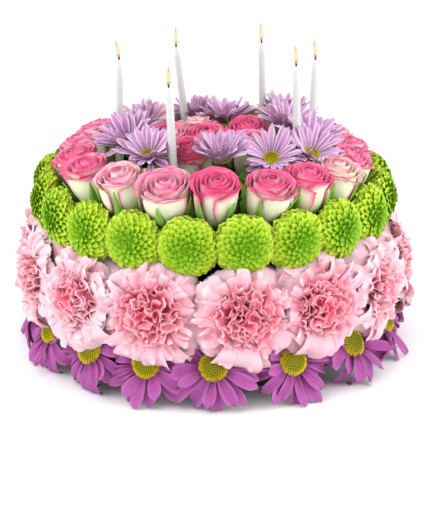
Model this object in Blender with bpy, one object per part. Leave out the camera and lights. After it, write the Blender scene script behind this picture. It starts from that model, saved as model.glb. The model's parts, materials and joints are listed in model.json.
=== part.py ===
"""A birthday cake made of fresh flowers, with six slim candles.

A round block of floral foam carries four rings of cut flower heads, from the table up: purple daisies,
pink carnations, green button poms and pink-edged roses. More roses and lilac daisies fill the top, and the
candles are pushed into the foam between them. Metres, +Z up, origin at the centre of the foam's underside,
the front of the cake towards -Y.
"""

import math
from dataclasses import dataclass

import bpy
from mathutils import Vector

GAP = 0.0003
CLEARANCE = 0.00015
RING_OVERLAP = 0.0006
REACH_OF_CELLS = 0.03

FOAM_RADIUS = 0.095
FOAM_HEIGHT = 0.106
FOAM_BEVEL = 0.004
FOAM_SIDES = 24

# Each ring of heads: the azimuths of those at the front as they stand, and how many fill the back evenly.
FRONT_LOWER_DAISIES = (-84, -62, -41, -20.5, 0, 24.5, 48, 71)
BACK_LOWER_DAISIES = 7
LOWER_DAISY_RING = 0.1205
LOWER_DAISY_HEIGHT = 0.0265
LOWER_DAISY_LOOKS_UP = 26

FRONT_CARNATIONS = (-71, -45, -18.8, 9.3, 34, 60)
BACK_CARNATIONS = 7
CARNATION_RING = 0.1085
CARNATION_HEIGHT = 0.061
CARNATION_LOOKS_UP = 3

FRONT_BUTTONS = (-62, -44.2, -26.5, -8.2, 10, 27.4, 45, 63.5)
BACK_BUTTONS = 12
BUTTON_RING = 0.1105
BUTTON_HEIGHT = 0.1035
BUTTON_LOOKS_UP = 2

FRONT_ROSES = (-78, -58.5, -37, -18, 0.5, 20.5, 38, 54.5, 74)
BACK_ROSES = 9
ROSE_RING = 0.0960
ROSE_HEIGHT = 0.1275
ROSE_LEANS_OUT = 17
# From the front to the sides the rings of carnations and roses sink a little, and the roses draw in too. The
# heads inside them sink towards the back.
CARNATIONS_SINK = 0.0060
ROSES_DRAW_IN = 0.0085
ROSES_SINK = 0.0065
TOP_FALL = 0.10

# The heads inside the ring of roses: x, y, lean in degrees and the azimuth that the head leans to.
INNER_ROSES = (
    (-0.031, 0.001, 14, -30),
    (-0.004, -0.003, 12, 0),
    (0.023, 0.021, 12, 20),
    (-0.012, 0.027, 10, 200),
    (0.027, -0.016, 14, 40),
    (-0.015, -0.036, 14, -10),
    (-0.043, 0.048, 14, 230),
)
INNER_ROSE_HEIGHT = 0.1310
TOP_DAISIES = (
    (-0.055, -0.017, 24, -40),
    (-0.041, -0.052, 22, -10),
    (0.005, -0.055, 8, 0),
    (0.037, -0.051, 30, 5),
    (0.063, -0.039, 28, 45),
    (0.064, -0.008, 16, 70),
    (0.050, 0.024, 20, 60),
    (0.048, 0.052, 14, 140),
    (0.008, 0.048, 10, 180),
    (-0.012, 0.062, 20, 190),
    (-0.047, 0.019, 16, 250),
)
TOP_DAISY_HEIGHT = 0.1420

# Each candle: x and y at the foam, its whole height above the table, and its lean in x for each metre up.
CANDLES = (
    (-0.0632, 0.008, 0.1955, 0.010),
    (-0.0161, 0.052, 0.1930, -0.112),
    (-0.0240, -0.061, 0.1955, -0.046),
    (0.0351, 0.055, 0.1952, -0.027),
    (0.0551, -0.030, 0.2010, -0.024),
    (0.0647, 0.009, 0.1952, 0.030),
)
CANDLE_RADIUS = 0.0029
CANDLE_TOP_RADIUS = 0.0021
CANDLE_TIP = 0.006
WICK_RADIUS = 0.0005
WICK_LENGTH = 0.004
CANDLE_SIDES = 8
SOCKET_DEPTH = 0.020
SOCKET_CLEARANCE = 0.0006


@dataclass
class Head:
    """One flower head: where its middle is, where it faces, and the ball of room that it takes."""

    name: str
    centre: Vector
    axis: Vector
    radius: float
    softness: float
    ring: str = ""


@dataclass(frozen=True)
class Band:
    """One ring of points of a head: its angle from the axis, its distance from the middle, and its frill."""

    angle: float
    radius: float
    frill: float = 0.0


CARNATION_RADIUS = 0.0350
CARNATION_SEGMENTS = 16
CARNATION_BANDS = (
    Band(17, 0.0240, 0.10),
    Band(33, 0.0260, 0.13),
    Band(48, 0.0300, 0.12),
    Band(62, 0.0350, 0.09),
    Band(80, 0.0355, 0.06),
    Band(104, 0.0290, 0.04),
    Band(150, 0.0140),
)
CARNATION_FRONT = 0.0240

ROSE_RADIUS = 0.0185
ROSE_SEGMENTS = 10
ROSE_BANDS = (
    Band(24, 0.0150, 0.04),
    Band(42, 0.0158, 0.06),
    Band(57, 0.0210, 0.06),
    Band(86, 0.0184, 0.03),
    Band(130, 0.0172),
    Band(166, 0.0185),
)
ROSE_FRONT = 0.0165
ROSE_PETALS = 5

BUTTON_RADIUS = 0.0195
BUTTON_THICKNESS = 0.0120
BUTTON_SEGMENTS = 10
BUTTON_ANGLES = (20, 42, 64, 86, 112, 148)
BUTTON_FRILL = 0.04

DAISY_DISC = 0.0078
DAISY_DOME = 0.0040
DAISY_CALYX = 0.0045
DAISY_PETALS = 12
PETAL_THICKNESS = 0.0012
WIDEST_AT = 0.66
SHORTEST_PETAL = 0.60
LOWER_DAISY_RADIUS = 0.0145
LOWER_DAISY_PETAL = 0.0320
LOWER_DAISY_CUP = -4
TOP_DAISY_RADIUS = 0.0185
TOP_DAISY_PETAL = 0.0260
TOP_DAISY_CUP = 40


def wobble(index, salt):
    """A repeatable number from -1 to 1 for one of a row of things."""
    value = math.sin(index * 12.9898 + salt * 78.233) * 43758.5453
    return 2 * (value - math.floor(value)) - 1


def facing(azimuth, elevation):
    """The direction of an azimuth, 0 at the front and 90 at +X, and an elevation, in degrees."""
    a, e = math.radians(azimuth), math.radians(elevation)
    return Vector((math.sin(a) * math.cos(e), -math.cos(a) * math.cos(e), math.sin(e)))


def on_ring(radius, azimuth, height):
    """A point at that radius and azimuth round the cake."""
    return facing(azimuth, 0) * radius + Vector((0, 0, height))


def all_round(front, back):
    """The azimuths of a ring: the front ones as given, then even steps round the back."""
    step = (360 - (front[-1] - front[0])) / (back + 1)
    return [*front, *(front[-1] + step * (i + 1) for i in range(back))]


def ring_of_heads(kind, azimuths, ring, height, looks_up, radius, softness, fused="", draws_in=0.0,
                  sinks=0.0):
    """Heads that stand out from the cake at those azimuths, nearer in and lower past the front if asked."""
    heads = []
    for i, azimuth in enumerate(azimuths):
        past = min(1 - math.cos(math.radians(azimuth)), 1.0)
        centre = on_ring(ring - draws_in * past, azimuth, height - sinks * past + 0.0010 * wobble(i, 2))
        axis = facing(azimuth + 4 * wobble(i, 3), looks_up + 4 * wobble(i, 4))
        heads.append(Head(f"{kind}_{i + 1:02d}", centre, axis, radius, softness, fused))
    return heads


def all_heads():
    """Every flower head of the cake."""
    heads = ring_of_heads("lower_daisy", all_round(FRONT_LOWER_DAISIES, BACK_LOWER_DAISIES), LOWER_DAISY_RING,
                          LOWER_DAISY_HEIGHT, LOWER_DAISY_LOOKS_UP, LOWER_DAISY_RADIUS, 0.8)
    heads += ring_of_heads("carnation", all_round(FRONT_CARNATIONS, BACK_CARNATIONS), CARNATION_RING,
                           CARNATION_HEIGHT, CARNATION_LOOKS_UP, CARNATION_RADIUS, 1.0,
                           sinks=CARNATIONS_SINK)
    heads += ring_of_heads("button", all_round(FRONT_BUTTONS, BACK_BUTTONS), BUTTON_RING,
                           BUTTON_HEIGHT, BUTTON_LOOKS_UP, BUTTON_RADIUS, 0.15, "button_ring")
    heads += ring_of_heads("rose", all_round(FRONT_ROSES, BACK_ROSES), ROSE_RING,
                           ROSE_HEIGHT, 90 - ROSE_LEANS_OUT, ROSE_RADIUS, 0.6, "rose_ring",
                           ROSES_DRAW_IN, ROSES_SINK)
    for i, (x, y, lean, towards) in enumerate(INNER_ROSES):
        centre = Vector((x, y, INNER_ROSE_HEIGHT - TOP_FALL * max(y, 0)))
        heads.append(Head(f"inner_rose_{i + 1:02d}", centre, facing(towards, 90 - lean), ROSE_RADIUS, 0.6))
    for i, (x, y, lean, towards) in enumerate(TOP_DAISIES):
        centre = Vector((x, y, TOP_DAISY_HEIGHT - TOP_FALL * max(y, 0) + 0.0015 * wobble(i, 8)))
        axis = facing(towards, 90 - lean)
        heads.append(Head(f"top_daisy_{i + 1:02d}", centre, axis, TOP_DAISY_RADIUS, 1.0))
    return heads


def candle_line(candle):
    """A candle's foot in its socket and its direction."""
    x, y, _, lean = candle
    direction = Vector((lean, 0, 1)).normalized()
    foot = Vector((x, y, FOAM_HEIGHT)) - direction * (SOCKET_DEPTH - GAP)
    return foot, direction


def cell_of(head, heads):
    """The planes that a head stays behind, as (normal, distance from its middle).

    Neighbours press each other flat along a plane between them, the softer giving way more. Heads that are
    fused into one ring run a little into each other there. The foam, the table and the candles bound a head
    too.
    """
    planes = []
    for other in heads:
        between = other.centre - head.centre
        distance = between.length
        if other is head or distance > head.radius + other.radius + REACH_OF_CELLS:
            continue
        if head.ring and head.ring == other.ring:
            planes.append((between / distance, distance / 2 + RING_OVERLAP))
            continue
        overlap = head.radius + other.radius - distance
        share = head.softness / (head.softness + other.softness) if overlap > 0 else 0.5
        planes.append((between / distance, head.radius - overlap * share - CLEARANCE))
    radius = math.hypot(head.centre.x, head.centre.y)
    if head.centre.z < FOAM_HEIGHT:
        inward = Vector((-head.centre.x, -head.centre.y, 0)) / radius
        planes.append((inward, radius - FOAM_RADIUS - GAP))
        planes.append((Vector((0, 0, -1)), head.centre.z - GAP))
    else:
        planes.append((Vector((0, 0, -1)), head.centre.z - FOAM_HEIGHT - GAP))
        for candle in CANDLES:
            foot, direction = candle_line(candle)
            away = foot - head.centre
            away -= direction * away.dot(direction)
            if away.length < head.radius + REACH_OF_CELLS:
                planes.append((away.normalized(), away.length - CANDLE_RADIUS - GAP))
    return planes


def allowed(offset, planes):
    """How much of an offset from a head's middle its cell leaves room for, up to all of it."""
    share = 1.0
    for normal, limit in planes:
        reach = normal.dot(offset)
        if reach > limit:
            share = min(share, limit / reach)
    return share


def sideways(axis):
    """Two directions square to an axis, the second a quarter turn round it from the first."""
    up = Vector((0, 0, 1)) if abs(axis.z) < 0.9 else Vector((0, 1, 0))
    first = (up - axis * up.dot(axis)).normalized()
    return first, axis.cross(first)


def new_object(name, points, faces, material):
    """A mesh object of those points and faces, smooth but for its sharp folds."""
    mesh = bpy.data.meshes.new(name)
    mesh.from_pydata([tuple(p) for p in points], [], faces)
    mesh.validate()
    mesh.materials.append(material)
    mesh.shade_smooth()
    mesh.set_sharp_from_angle(angle=math.radians(35))
    placed = bpy.data.objects.new(name, mesh)
    bpy.context.scene.collection.objects.link(placed)
    return placed


def lathe_faces(rings, segments):
    """Faces over rings of points, with point 0 closing the first ring and the last point the last ring."""
    faces = []
    last = 1 + rings * segments
    for k in range(segments):
        after = (k + 1) % segments
        faces.append((0, 1 + after, 1 + k))
        for r in range(rings - 1):
            near, far = 1 + r * segments, 1 + (r + 1) * segments
            faces.append((near + k, near + after, far + k))
            faces.append((near + after, far + after, far + k))
        near = 1 + (rings - 1) * segments
        faces.append((near + k, near + after, last))
    return faces


def round_head(head, heads, material, bands, segments, front, frilled):
    """A head as a closed body round its middle, pressed into its cell.

    frilled gives the share that a point of a band stands out by, from the band's and the point's numbers.
    """
    planes = cell_of(head, heads)
    first, second = sideways(head.axis)
    spin = math.pi * wobble(int(head.name[-2:]), 9)
    back = math.inf
    for normal, limit in planes:
        towards = -normal.dot(head.axis)
        if towards > 0.5:
            back = min(back, limit / towards)
    offsets = [head.axis * front]
    for b, band in enumerate(bands):
        angle = math.radians(band.angle)
        for k in range(segments):
            turn = 2 * math.pi * (k + 0.5 * (b % 2)) / segments + spin
            outward = first * math.cos(turn) - second * math.sin(turn)
            radius = band.radius * (1 + band.frill * frilled(b, k))
            offsets.append((head.axis * math.cos(angle) + outward * math.sin(angle)) * radius)
    offsets.append(head.axis * -back)
    points = [head.centre + offset * allowed(offset, planes) for offset in offsets]
    return new_object(head.name, points, lathe_faces(len(bands), segments), material)


def carnation(head, heads, material):
    """A carnation's dome of frilled petals."""
    number = int(head.name[-2:])

    def frilled(band, k):
        return (1 if (k + band) % 2 else -1) + 0.6 * wobble(k + 16 * band, number)

    return round_head(head, heads, material, CARNATION_BANDS, CARNATION_SEGMENTS, CARNATION_FRONT, frilled)


def rose(head, heads, material):
    """A half open rose: rolled lips round a sunk coil, on a narrowing cup."""
    number = int(head.name[-2:])

    def frilled(band, k):
        turn = 2 * math.pi * k / ROSE_SEGMENTS
        return math.cos(ROSE_PETALS * turn + band * 2.0) + 0.4 * wobble(k, number + 10 * band)

    return round_head(head, heads, material, ROSE_BANDS, ROSE_SEGMENTS, ROSE_FRONT, frilled)


def button(head, heads, material):
    """A button pom: a flattened ball of short petals."""
    bands = []
    for angle in BUTTON_ANGLES:
        a = math.radians(angle)
        radius = 1 / math.hypot(math.cos(a) / BUTTON_THICKNESS, math.sin(a) / BUTTON_RADIUS)
        bands.append(Band(angle, radius, BUTTON_FRILL))

    def frilled(band, k):
        return 1 if (k + band) % 2 else -1

    return round_head(head, heads, material, bands, BUTTON_SEGMENTS, BUTTON_THICKNESS, frilled)


def daisy(head, heads, material, petal_length, cup):
    """A daisy: a domed disc, a star of thin petals as long as the cell allows, and a stem to the foam."""
    planes = cell_of(head, heads)
    number = int(head.name[-2:])
    first, second = sideways(head.axis)
    spin = math.pi * wobble(number, 9)
    tilt = math.radians(cup)
    step = 2 * math.pi / DAISY_PETALS
    half_width = petal_length * WIDEST_AT * math.cos(tilt) * math.sin(step / 2) * 0.96

    def outward(turn):
        return first * math.cos(turn + spin) + second * math.sin(turn + spin)

    def point(offset):
        return head.centre + offset * allowed(offset, planes)

    dome, notch, calyx = [], [], []
    for k in range(DAISY_PETALS):
        way = outward((k - 0.5) * step)
        dome.append(point(way * DAISY_DISC + head.axis * DAISY_DOME * 0.5))
        notch.append(point(way * DAISY_DISC * 1.15))
        calyx.append(point(way * DAISY_DISC * 0.5 - head.axis * DAISY_CALYX))
    stem = stem_end(head)
    points = [*dome, *notch, *calyx, point(head.axis * DAISY_DOME * 1.6), stem]
    crown, foot = 3 * DAISY_PETALS, 3 * DAISY_PETALS + 1
    faces = []
    for k in range(DAISY_PETALS):
        after = (k + 1) % DAISY_PETALS
        d, d2 = k, after
        n, n2 = DAISY_PETALS + k, DAISY_PETALS + after
        c, c2 = 2 * DAISY_PETALS + k, 2 * DAISY_PETALS + after
        faces += [(crown, d, d2), (c, foot, c2), (n, c, c2, n2)]
        way, across = outward(k * step), outward(k * step + math.pi / 2)
        along = way * math.cos(tilt) + head.axis * math.sin(tilt)
        rise = head.axis * math.cos(tilt) - way * math.sin(tilt)
        length = petal_length * (1 + 0.08 * wobble(k, number))
        outline = [
            along * length * WIDEST_AT - across * half_width,
            along * length,
            along * length * WIDEST_AT + across * half_width,
        ]
        ridge = along * length * WIDEST_AT * 0.9 + rise * PETAL_THICKNESS
        room = min(allowed(offset, planes) for offset in (*outline, ridge))
        if room < SHORTEST_PETAL:
            faces.append((d, n, n2, d2))
            continue
        near = len(points)
        points += [head.centre + offset * room for offset in (*outline, ridge)]
        left, tip, right, top = near, near + 1, near + 2, near + 3
        faces += [(n, left, top), (left, tip, top), (tip, right, top), (right, n2, top)]
        faces += [(d, n, top), (d, top, d2), (d2, top, n2)]
        faces += [(n, n2, left), (left, n2, right), (left, right, tip)]
    return new_object(head.name, points, faces, material)


def stem_end(head):
    """Where a daisy's stem meets the foam: straight in from the side, or straight down from above."""
    if head.centre.z < FOAM_HEIGHT:
        radius = math.hypot(head.centre.x, head.centre.y)
        inner = (FOAM_RADIUS + GAP) / radius
        return Vector((head.centre.x * inner, head.centre.y * inner, head.centre.z))
    return Vector((head.centre.x, head.centre.y, FOAM_HEIGHT + GAP))


def fused(name, pieces):
    """One body of pieces that run into each other."""
    whole = pieces[0]
    others = bpy.data.collections.new(name + "_parts")
    for piece in pieces[1:]:
        others.objects.link(piece)
    union = whole.modifiers.new("union", "BOOLEAN")
    union.operation = "UNION"
    union.operand_type = "COLLECTION"
    union.collection = others
    union.solver = "EXACT"
    seen = whole.evaluated_get(bpy.context.evaluated_depsgraph_get())
    mesh = bpy.data.meshes.new_from_object(seen)
    whole.modifiers.clear()
    whole.data = mesh
    for piece in pieces[1:]:
        bpy.data.objects.remove(piece)
    bpy.data.collections.remove(others)
    whole.name = name
    return whole


def foam_core(material):
    """The round block of floral foam, with a socket for each candle."""
    profile = (
        (FOAM_RADIUS, 0),
        (FOAM_RADIUS, FOAM_HEIGHT - FOAM_BEVEL),
        (FOAM_RADIUS - FOAM_BEVEL, FOAM_HEIGHT),
    )
    points = [Vector((0, 0, 0))]
    for radius, height in profile:
        for k in range(FOAM_SIDES):
            points.append(on_ring(radius, 360 * k / FOAM_SIDES, height))
    points.append(Vector((0, 0, FOAM_HEIGHT)))
    core = new_object("foam_core", points, lathe_faces(len(profile), FOAM_SIDES), material)
    for i, candle in enumerate(CANDLES):
        foot, direction = candle_line(candle)
        radius = CANDLE_RADIUS + SOCKET_CLEARANCE
        drill = turned(f"socket_{i + 1}", foot - direction * GAP, direction, material,
                       ((radius, 0), (radius, SOCKET_DEPTH * 2)))
        drill.hide_render = True
        drill.display_type = "WIRE"
        cut = core.modifiers.new(f"socket_{i + 1}", "BOOLEAN")
        cut.operation = "DIFFERENCE"
        cut.object = drill
        cut.solver = "EXACT"
    return core


def turned(name, foot, direction, material, profile):
    """A round body about a line, from (radius, height) pairs, bottom to top."""
    first, second = sideways(direction)
    points = [foot + direction * profile[0][1]]
    for radius, height in profile:
        for k in range(CANDLE_SIDES):
            turn = 2 * math.pi * k / CANDLE_SIDES
            outward = first * math.cos(turn) + second * math.sin(turn)
            points.append(foot + direction * height + outward * radius)
    points.append(foot + direction * profile[-1][1])
    return new_object(name, points, lathe_faces(len(profile), CANDLE_SIDES), material)


def candle_with_wick(number, candle, material):
    """A slim tapered candle with its wick, standing in its socket."""
    foot, direction = candle_line(candle)
    length = (candle[2] - foot.z) / direction.z - WICK_LENGTH
    profile = (
        (CANDLE_RADIUS, 0),
        (CANDLE_TOP_RADIUS, length - CANDLE_TIP),
        (WICK_RADIUS * 1.6, length),
        (WICK_RADIUS, length),
        (WICK_RADIUS, length + WICK_LENGTH),
    )
    return turned(f"candle_{number}", foot, direction, material, profile)


def flat_material(name, colour, roughness):
    """A plain Principled material."""
    material = bpy.data.materials.new(name)
    material.use_nodes = True
    shader = material.node_tree.nodes["Principled BSDF"]
    shader.inputs["Base Color"].default_value = (*colour, 1)
    shader.inputs["Roughness"].default_value = roughness
    shader.inputs["Metallic"].default_value = 0
    return material


def main():
    """Builds the cake."""
    for old in list(bpy.data.objects):
        bpy.data.objects.remove(old)
    foam = flat_material("floral_foam", (0.03, 0.07, 0.03), 0.9)
    purple = flat_material("purple_petal", (0.46, 0.12, 0.52), 0.6)
    lilac = flat_material("lilac_petal", (0.52, 0.30, 0.62), 0.6)
    pink = flat_material("carnation_pink", (0.86, 0.42, 0.52), 0.65)
    green = flat_material("button_green", (0.36, 0.62, 0.02), 0.6)
    blush = flat_material("rose_petal", (0.86, 0.30, 0.45), 0.5)
    wax = flat_material("candle_wax", (0.86, 0.87, 0.84), 0.35)
    heads = all_heads()
    foam_core(foam)
    makers = {
        "lower_daisy": lambda head: daisy(head, heads, purple, LOWER_DAISY_PETAL, LOWER_DAISY_CUP),
        "carnation": lambda head: carnation(head, heads, pink),
        "button": lambda head: button(head, heads, green),
        "rose": lambda head: rose(head, heads, blush),
        "inner_rose": lambda head: rose(head, heads, blush),
        "top_daisy": lambda head: daisy(head, heads, lilac, TOP_DAISY_PETAL, TOP_DAISY_CUP),
    }
    rings = {}
    for head in heads:
        made = makers[head.name.rsplit("_", 1)[0]](head)
        if head.ring:
            rings.setdefault(head.ring, []).append(made)
    bpy.context.view_layer.update()
    for name, pieces in rings.items():
        fused(name, pieces)
    for i, candle in enumerate(CANDLES):
        candle_with_wick(i + 1, candle, wax)


main()
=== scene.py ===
"""The looks of a birthday cake made of fresh flowers, with six lit candles.

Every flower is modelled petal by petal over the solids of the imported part: carnations, roses and daisies as
sheets with a front, a back and a thin edge, button poms and daisy discs as florets set out in a spiral.
Lengths are in metres. A flower is shaped round its own middle, facing +Z, and is then turned and set in its
place on the cake.
"""

import json
import logging
import math
from dataclasses import dataclass, field, replace
from enum import Enum
from typing import Any, Callable, Sequence, Union

import bpy
import numpy as np
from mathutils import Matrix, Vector

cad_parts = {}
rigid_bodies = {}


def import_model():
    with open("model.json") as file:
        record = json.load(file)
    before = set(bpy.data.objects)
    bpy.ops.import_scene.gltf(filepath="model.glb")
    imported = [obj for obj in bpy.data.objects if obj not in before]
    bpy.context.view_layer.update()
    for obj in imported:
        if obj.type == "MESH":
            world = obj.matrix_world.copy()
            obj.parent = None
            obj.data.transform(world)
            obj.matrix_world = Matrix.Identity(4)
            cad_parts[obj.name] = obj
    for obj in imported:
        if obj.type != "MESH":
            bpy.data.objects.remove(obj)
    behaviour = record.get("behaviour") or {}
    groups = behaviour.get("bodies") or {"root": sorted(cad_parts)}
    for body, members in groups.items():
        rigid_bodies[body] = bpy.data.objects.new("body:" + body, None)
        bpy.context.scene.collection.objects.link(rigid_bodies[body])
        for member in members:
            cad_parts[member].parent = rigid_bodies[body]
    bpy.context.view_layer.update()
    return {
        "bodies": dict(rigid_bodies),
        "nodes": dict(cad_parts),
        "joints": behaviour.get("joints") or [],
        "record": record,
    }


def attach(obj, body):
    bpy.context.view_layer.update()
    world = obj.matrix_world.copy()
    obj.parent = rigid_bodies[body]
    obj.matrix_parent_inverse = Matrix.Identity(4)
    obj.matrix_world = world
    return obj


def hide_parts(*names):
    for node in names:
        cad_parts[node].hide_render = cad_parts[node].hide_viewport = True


LOG = logging.getLogger("flower_cake")
GOLDEN_TURN = math.radians(137.508)
BODY = "root"

Colour = tuple[float, float, float, float]
Value = Union["Number", bpy.types.NodeSocket, float, int, Sequence[float], bool]
Painting = dict[str, Value]
Settings = Union[dict[str, Any], None]
Sockets = Union[dict[Union[str, int], Value], None]
Reach = Union[float, np.ndarray]


def wobble(index: int, salt: int) -> float:
    """Returns a repeatable number from -1 to 1 for thing number index of a row; salt names its property."""
    value = math.sin(index * 12.9898 + salt * 78.233) * 43758.5453
    return 2 * (value - math.floor(value)) - 1


def tint(red: float, green: float, blue: float) -> Colour:
    """Turns a screen colour, 0 to 255 a channel, into the linear colour that a shader takes."""
    shares = (channel / 255 for channel in (red, green, blue))
    return (*(c / 12.92 if c <= 0.04045 else ((c + 0.055) / 1.055) ** 2.4 for c in shares), 1.0)


def facing(azimuth: float, elevation: float) -> np.ndarray:
    """Returns the direction at an azimuth, 0 at the front and 90 at +X, and an elevation, both in degrees."""
    a, e = math.radians(azimuth), math.radians(elevation)
    return np.array((math.sin(a) * math.cos(e), -math.cos(a) * math.cos(e), math.sin(e)))


def smooth(low: float, high: float, value: np.ndarray) -> np.ndarray:
    """Returns 0 below low and 1 above high, with an easy curve between."""
    share = np.clip((value - low) / (high - low), 0, 1)
    return share * share * (3 - 2 * share)


def stand(name: str, data: bpy.types.ID) -> bpy.types.Object:
    """Puts a new object in the scene.

    Args:
        name: the object's name.
        data: its mesh, lamp or lens.

    Returns:
        The object.
    """
    made = bpy.data.objects.new(name, data)
    bpy.context.scene.collection.objects.link(made)
    return made


def aim_from(name: str, data: bpy.types.ID, place: Vector, aim: Vector) -> bpy.types.Object:
    """Puts a lamp or a camera in the scene.

    Args:
        name: its name.
        data: the lamp or lens.
        place: where it stands.
        aim: what it is turned to.

    Returns:
        The object.
    """
    made = stand(name, data)
    made.location = place
    made.rotation_euler = (aim - place).to_track_quat("-Z", "Y").to_euler()
    return made


def _operator(operation: str, swapped: bool = False) -> Callable[["Number", Value], "Number"]:
    """Makes the method that one of Python's operators calls on a Number.

    Args:
        operation: the Math node's operation.
        swapped: whether the Number stands on the operator's right.

    Returns:
        The method.
    """

    def apply(self: "Number", other: Value) -> "Number":
        """Returns the result of the Math node that it adds."""
        return self.graph.maths(operation, *((other, self) if swapped else (self, other)))

    return apply


class Number:
    """A number in a node tree, with Python's operators adding its Math nodes."""

    def __init__(self, graph: "Graph", socket: bpy.types.NodeSocket) -> None:
        """Wraps an output socket of a graph."""
        self.graph = graph
        self.socket = socket

    __add__ = _operator("ADD")
    __radd__ = _operator("ADD", True)
    __sub__ = _operator("SUBTRACT")
    __rsub__ = _operator("SUBTRACT", True)
    __mul__ = _operator("MULTIPLY")
    __rmul__ = _operator("MULTIPLY", True)
    __truediv__ = _operator("DIVIDE")
    __pow__ = _operator("POWER")
    __gt__ = _operator("GREATER_THAN")

    def absolute(self) -> "Number":
        """Returns the number without its sign."""
        return self.graph.maths("ABSOLUTE", self)

    def sine(self) -> "Number":
        """Returns the sine of the number, in radians."""
        return self.graph.maths("SINE", self)

    def cosine(self) -> "Number":
        """Returns the cosine of the number, in radians."""
        return self.graph.maths("COSINE", self)

    def rise(self, low: float, high: float) -> "Number":
        """Makes an easy step from 0 at low to 1 at high.

        Args:
            low: where the step starts.
            high: where it ends.

        Returns:
            The step.
        """
        ends = {"Value": self, "From Min": low, "From Max": high}
        node = self.graph.add("ShaderNodeMapRange", {"interpolation_type": "SMOOTHSTEP"}, ends)
        return Number(self.graph, node.outputs["Result"])


class Graph:
    """Builds the nodes of one shader or Geometry Nodes tree."""

    def __init__(self, tree: bpy.types.NodeTree) -> None:
        """Starts from an empty tree."""
        self.tree = tree
        tree.nodes.clear()

    def add(self, kind: str, settings: Settings = None, inputs: Sockets = None) -> bpy.types.Node:
        """Adds a node, sets it up and then fills its sockets.

        Args:
            kind: the node's type.
            settings: its own settings.
            inputs: its sockets' values or links, by name or number.

        Returns:
            The node.
        """
        node = self.tree.nodes.new(kind)
        for key, setting in (settings or {}).items():
            setattr(node, key, setting)
        for key, value in (inputs or {}).items():
            self.plug(node.inputs[key], value)
        return node

    def get(self, kind: str, settings: Settings = None, inputs: Sockets = None) -> bpy.types.NodeSocket:
        """Adds a node as add does, and returns its first output."""
        return self.add(kind, settings, inputs).outputs[0]

    def plug(self, socket: bpy.types.NodeSocket, value: Value) -> None:
        """Links or sets one input socket.

        Args:
            socket: the socket.
            value: what it gets.
        """
        if isinstance(value, Number):
            self.tree.links.new(value.socket, socket)
        elif isinstance(value, bpy.types.NodeSocket):
            self.tree.links.new(value, socket)
        else:
            socket.default_value = value

    def maths(self, operation: str, *values: Value) -> Number:
        """Adds a Math node and returns its result."""
        return Number(self, self.get("ShaderNodeMath", {"operation": operation}, dict(enumerate(values))))

    def blend(self, share: Value, first: Value, second: Value) -> bpy.types.NodeSocket:
        """Mixes a share of the second colour into the first."""
        return self.add("ShaderNodeMix", {"data_type": "RGBA"}, {0: share, 6: first, 7: second}).outputs[2]

    def noise(self, scale: float, detail: float) -> Number:
        """Adds noise from 0 to 1 over the object, its grains about 1 / scale metres across.

        Args:
            scale: the noise's scale.
            detail: how fine it goes.

        Returns:
            The noise.
        """
        place = self.add("ShaderNodeTexCoord").outputs["Object"]
        sockets = {"Vector": place, "Scale": scale, "Detail": detail}
        return Number(self, self.get("ShaderNodeTexNoise", None, sockets))

    def mark(self, name: str) -> Number:
        """Returns a number that a mesh carries under that name."""
        return Number(self, self.add("ShaderNodeAttribute", {"attribute_name": name}).outputs["Fac"])

    def xyz(self, x: Value, y: Value, z: Value) -> bpy.types.NodeSocket:
        """Makes a vector of three numbers."""
        return self.get("ShaderNodeCombineXYZ", None, {0: x, 1: y, 2: z})

    def split(self, vector: bpy.types.NodeSocket) -> list[Number]:
        """Returns a vector's three numbers."""
        return [Number(self, part) for part in self.add("ShaderNodeSeparateXYZ", None, {0: vector}).outputs]

    def place(self) -> list[Number]:
        """Returns the coordinates of each point of the geometry that a node works on."""
        return self.split(self.get("GeometryNodeInputPosition"))

    def stored(self, geometry: bpy.types.NodeSocket, name: str, value: Value) -> bpy.types.NodeSocket:
        """Marks the points of a geometry with a number.

        Args:
            geometry: the geometry.
            name: the mark's name.
            value: its value at each point.

        Returns:
            The geometry with the mark.
        """
        settings = {"data_type": "FLOAT", "domain": "POINT"}
        sockets = {"Geometry": geometry, "Name": name, "Value": value}
        return self.get("GeometryNodeStoreNamedAttribute", settings, sockets)

    def joined(self, *parts: bpy.types.NodeSocket) -> bpy.types.NodeSocket:
        """Joins geometry.

        Args:
            parts: the parts, in order.

        Returns:
            The whole.
        """
        node = self.add("GeometryNodeJoinGeometry")
        for part in parts:
            self.tree.links.new(part, node.inputs[0])
        return node.outputs[0]


@dataclass(frozen=True)
class Finish:
    """What every finish has: a name, its gloss and how much light it lets into its depth."""

    name: str
    roughness: float = 0.55
    depth: float = 0.0
    bump: float = 0.3
    relief: float = 0.0003
    shine: float = 0.25

    def make(self) -> bpy.types.Material:
        """Builds the finish's material.

        Returns:
            The material.
        """
        material = bpy.data.materials.new(self.name)
        material.use_nodes = True
        graph = Graph(material.node_tree)
        feeds = {"Roughness": self.roughness, "IOR": 1.4, "Specular IOR Level": self.shine}
        feeds |= self.paint(graph)
        if self.depth:
            feeds["Subsurface Weight"] = self.depth
            feeds["Subsurface Radius"] = (1.0, 0.55, 0.55)
            feeds["Subsurface Scale"] = 0.0020
        if "Height" in feeds:
            sockets = {"Strength": self.bump, "Distance": self.relief, "Height": feeds.pop("Height")}
            feeds["Normal"] = graph.get("ShaderNodeBump", None, sockets)
        shader = graph.get("ShaderNodeBsdfPrincipled", None, feeds)
        graph.add("ShaderNodeOutputMaterial", None, {"Surface": shader})
        return material

    def paint(self, graph: Graph) -> Painting:
        """Works out what feeds the shader.

        Args:
            graph: the material's graph.

        Returns:
            What feeds each of its sockets, with the height of the relief under Height.
        """
        raise NotImplementedError


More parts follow.
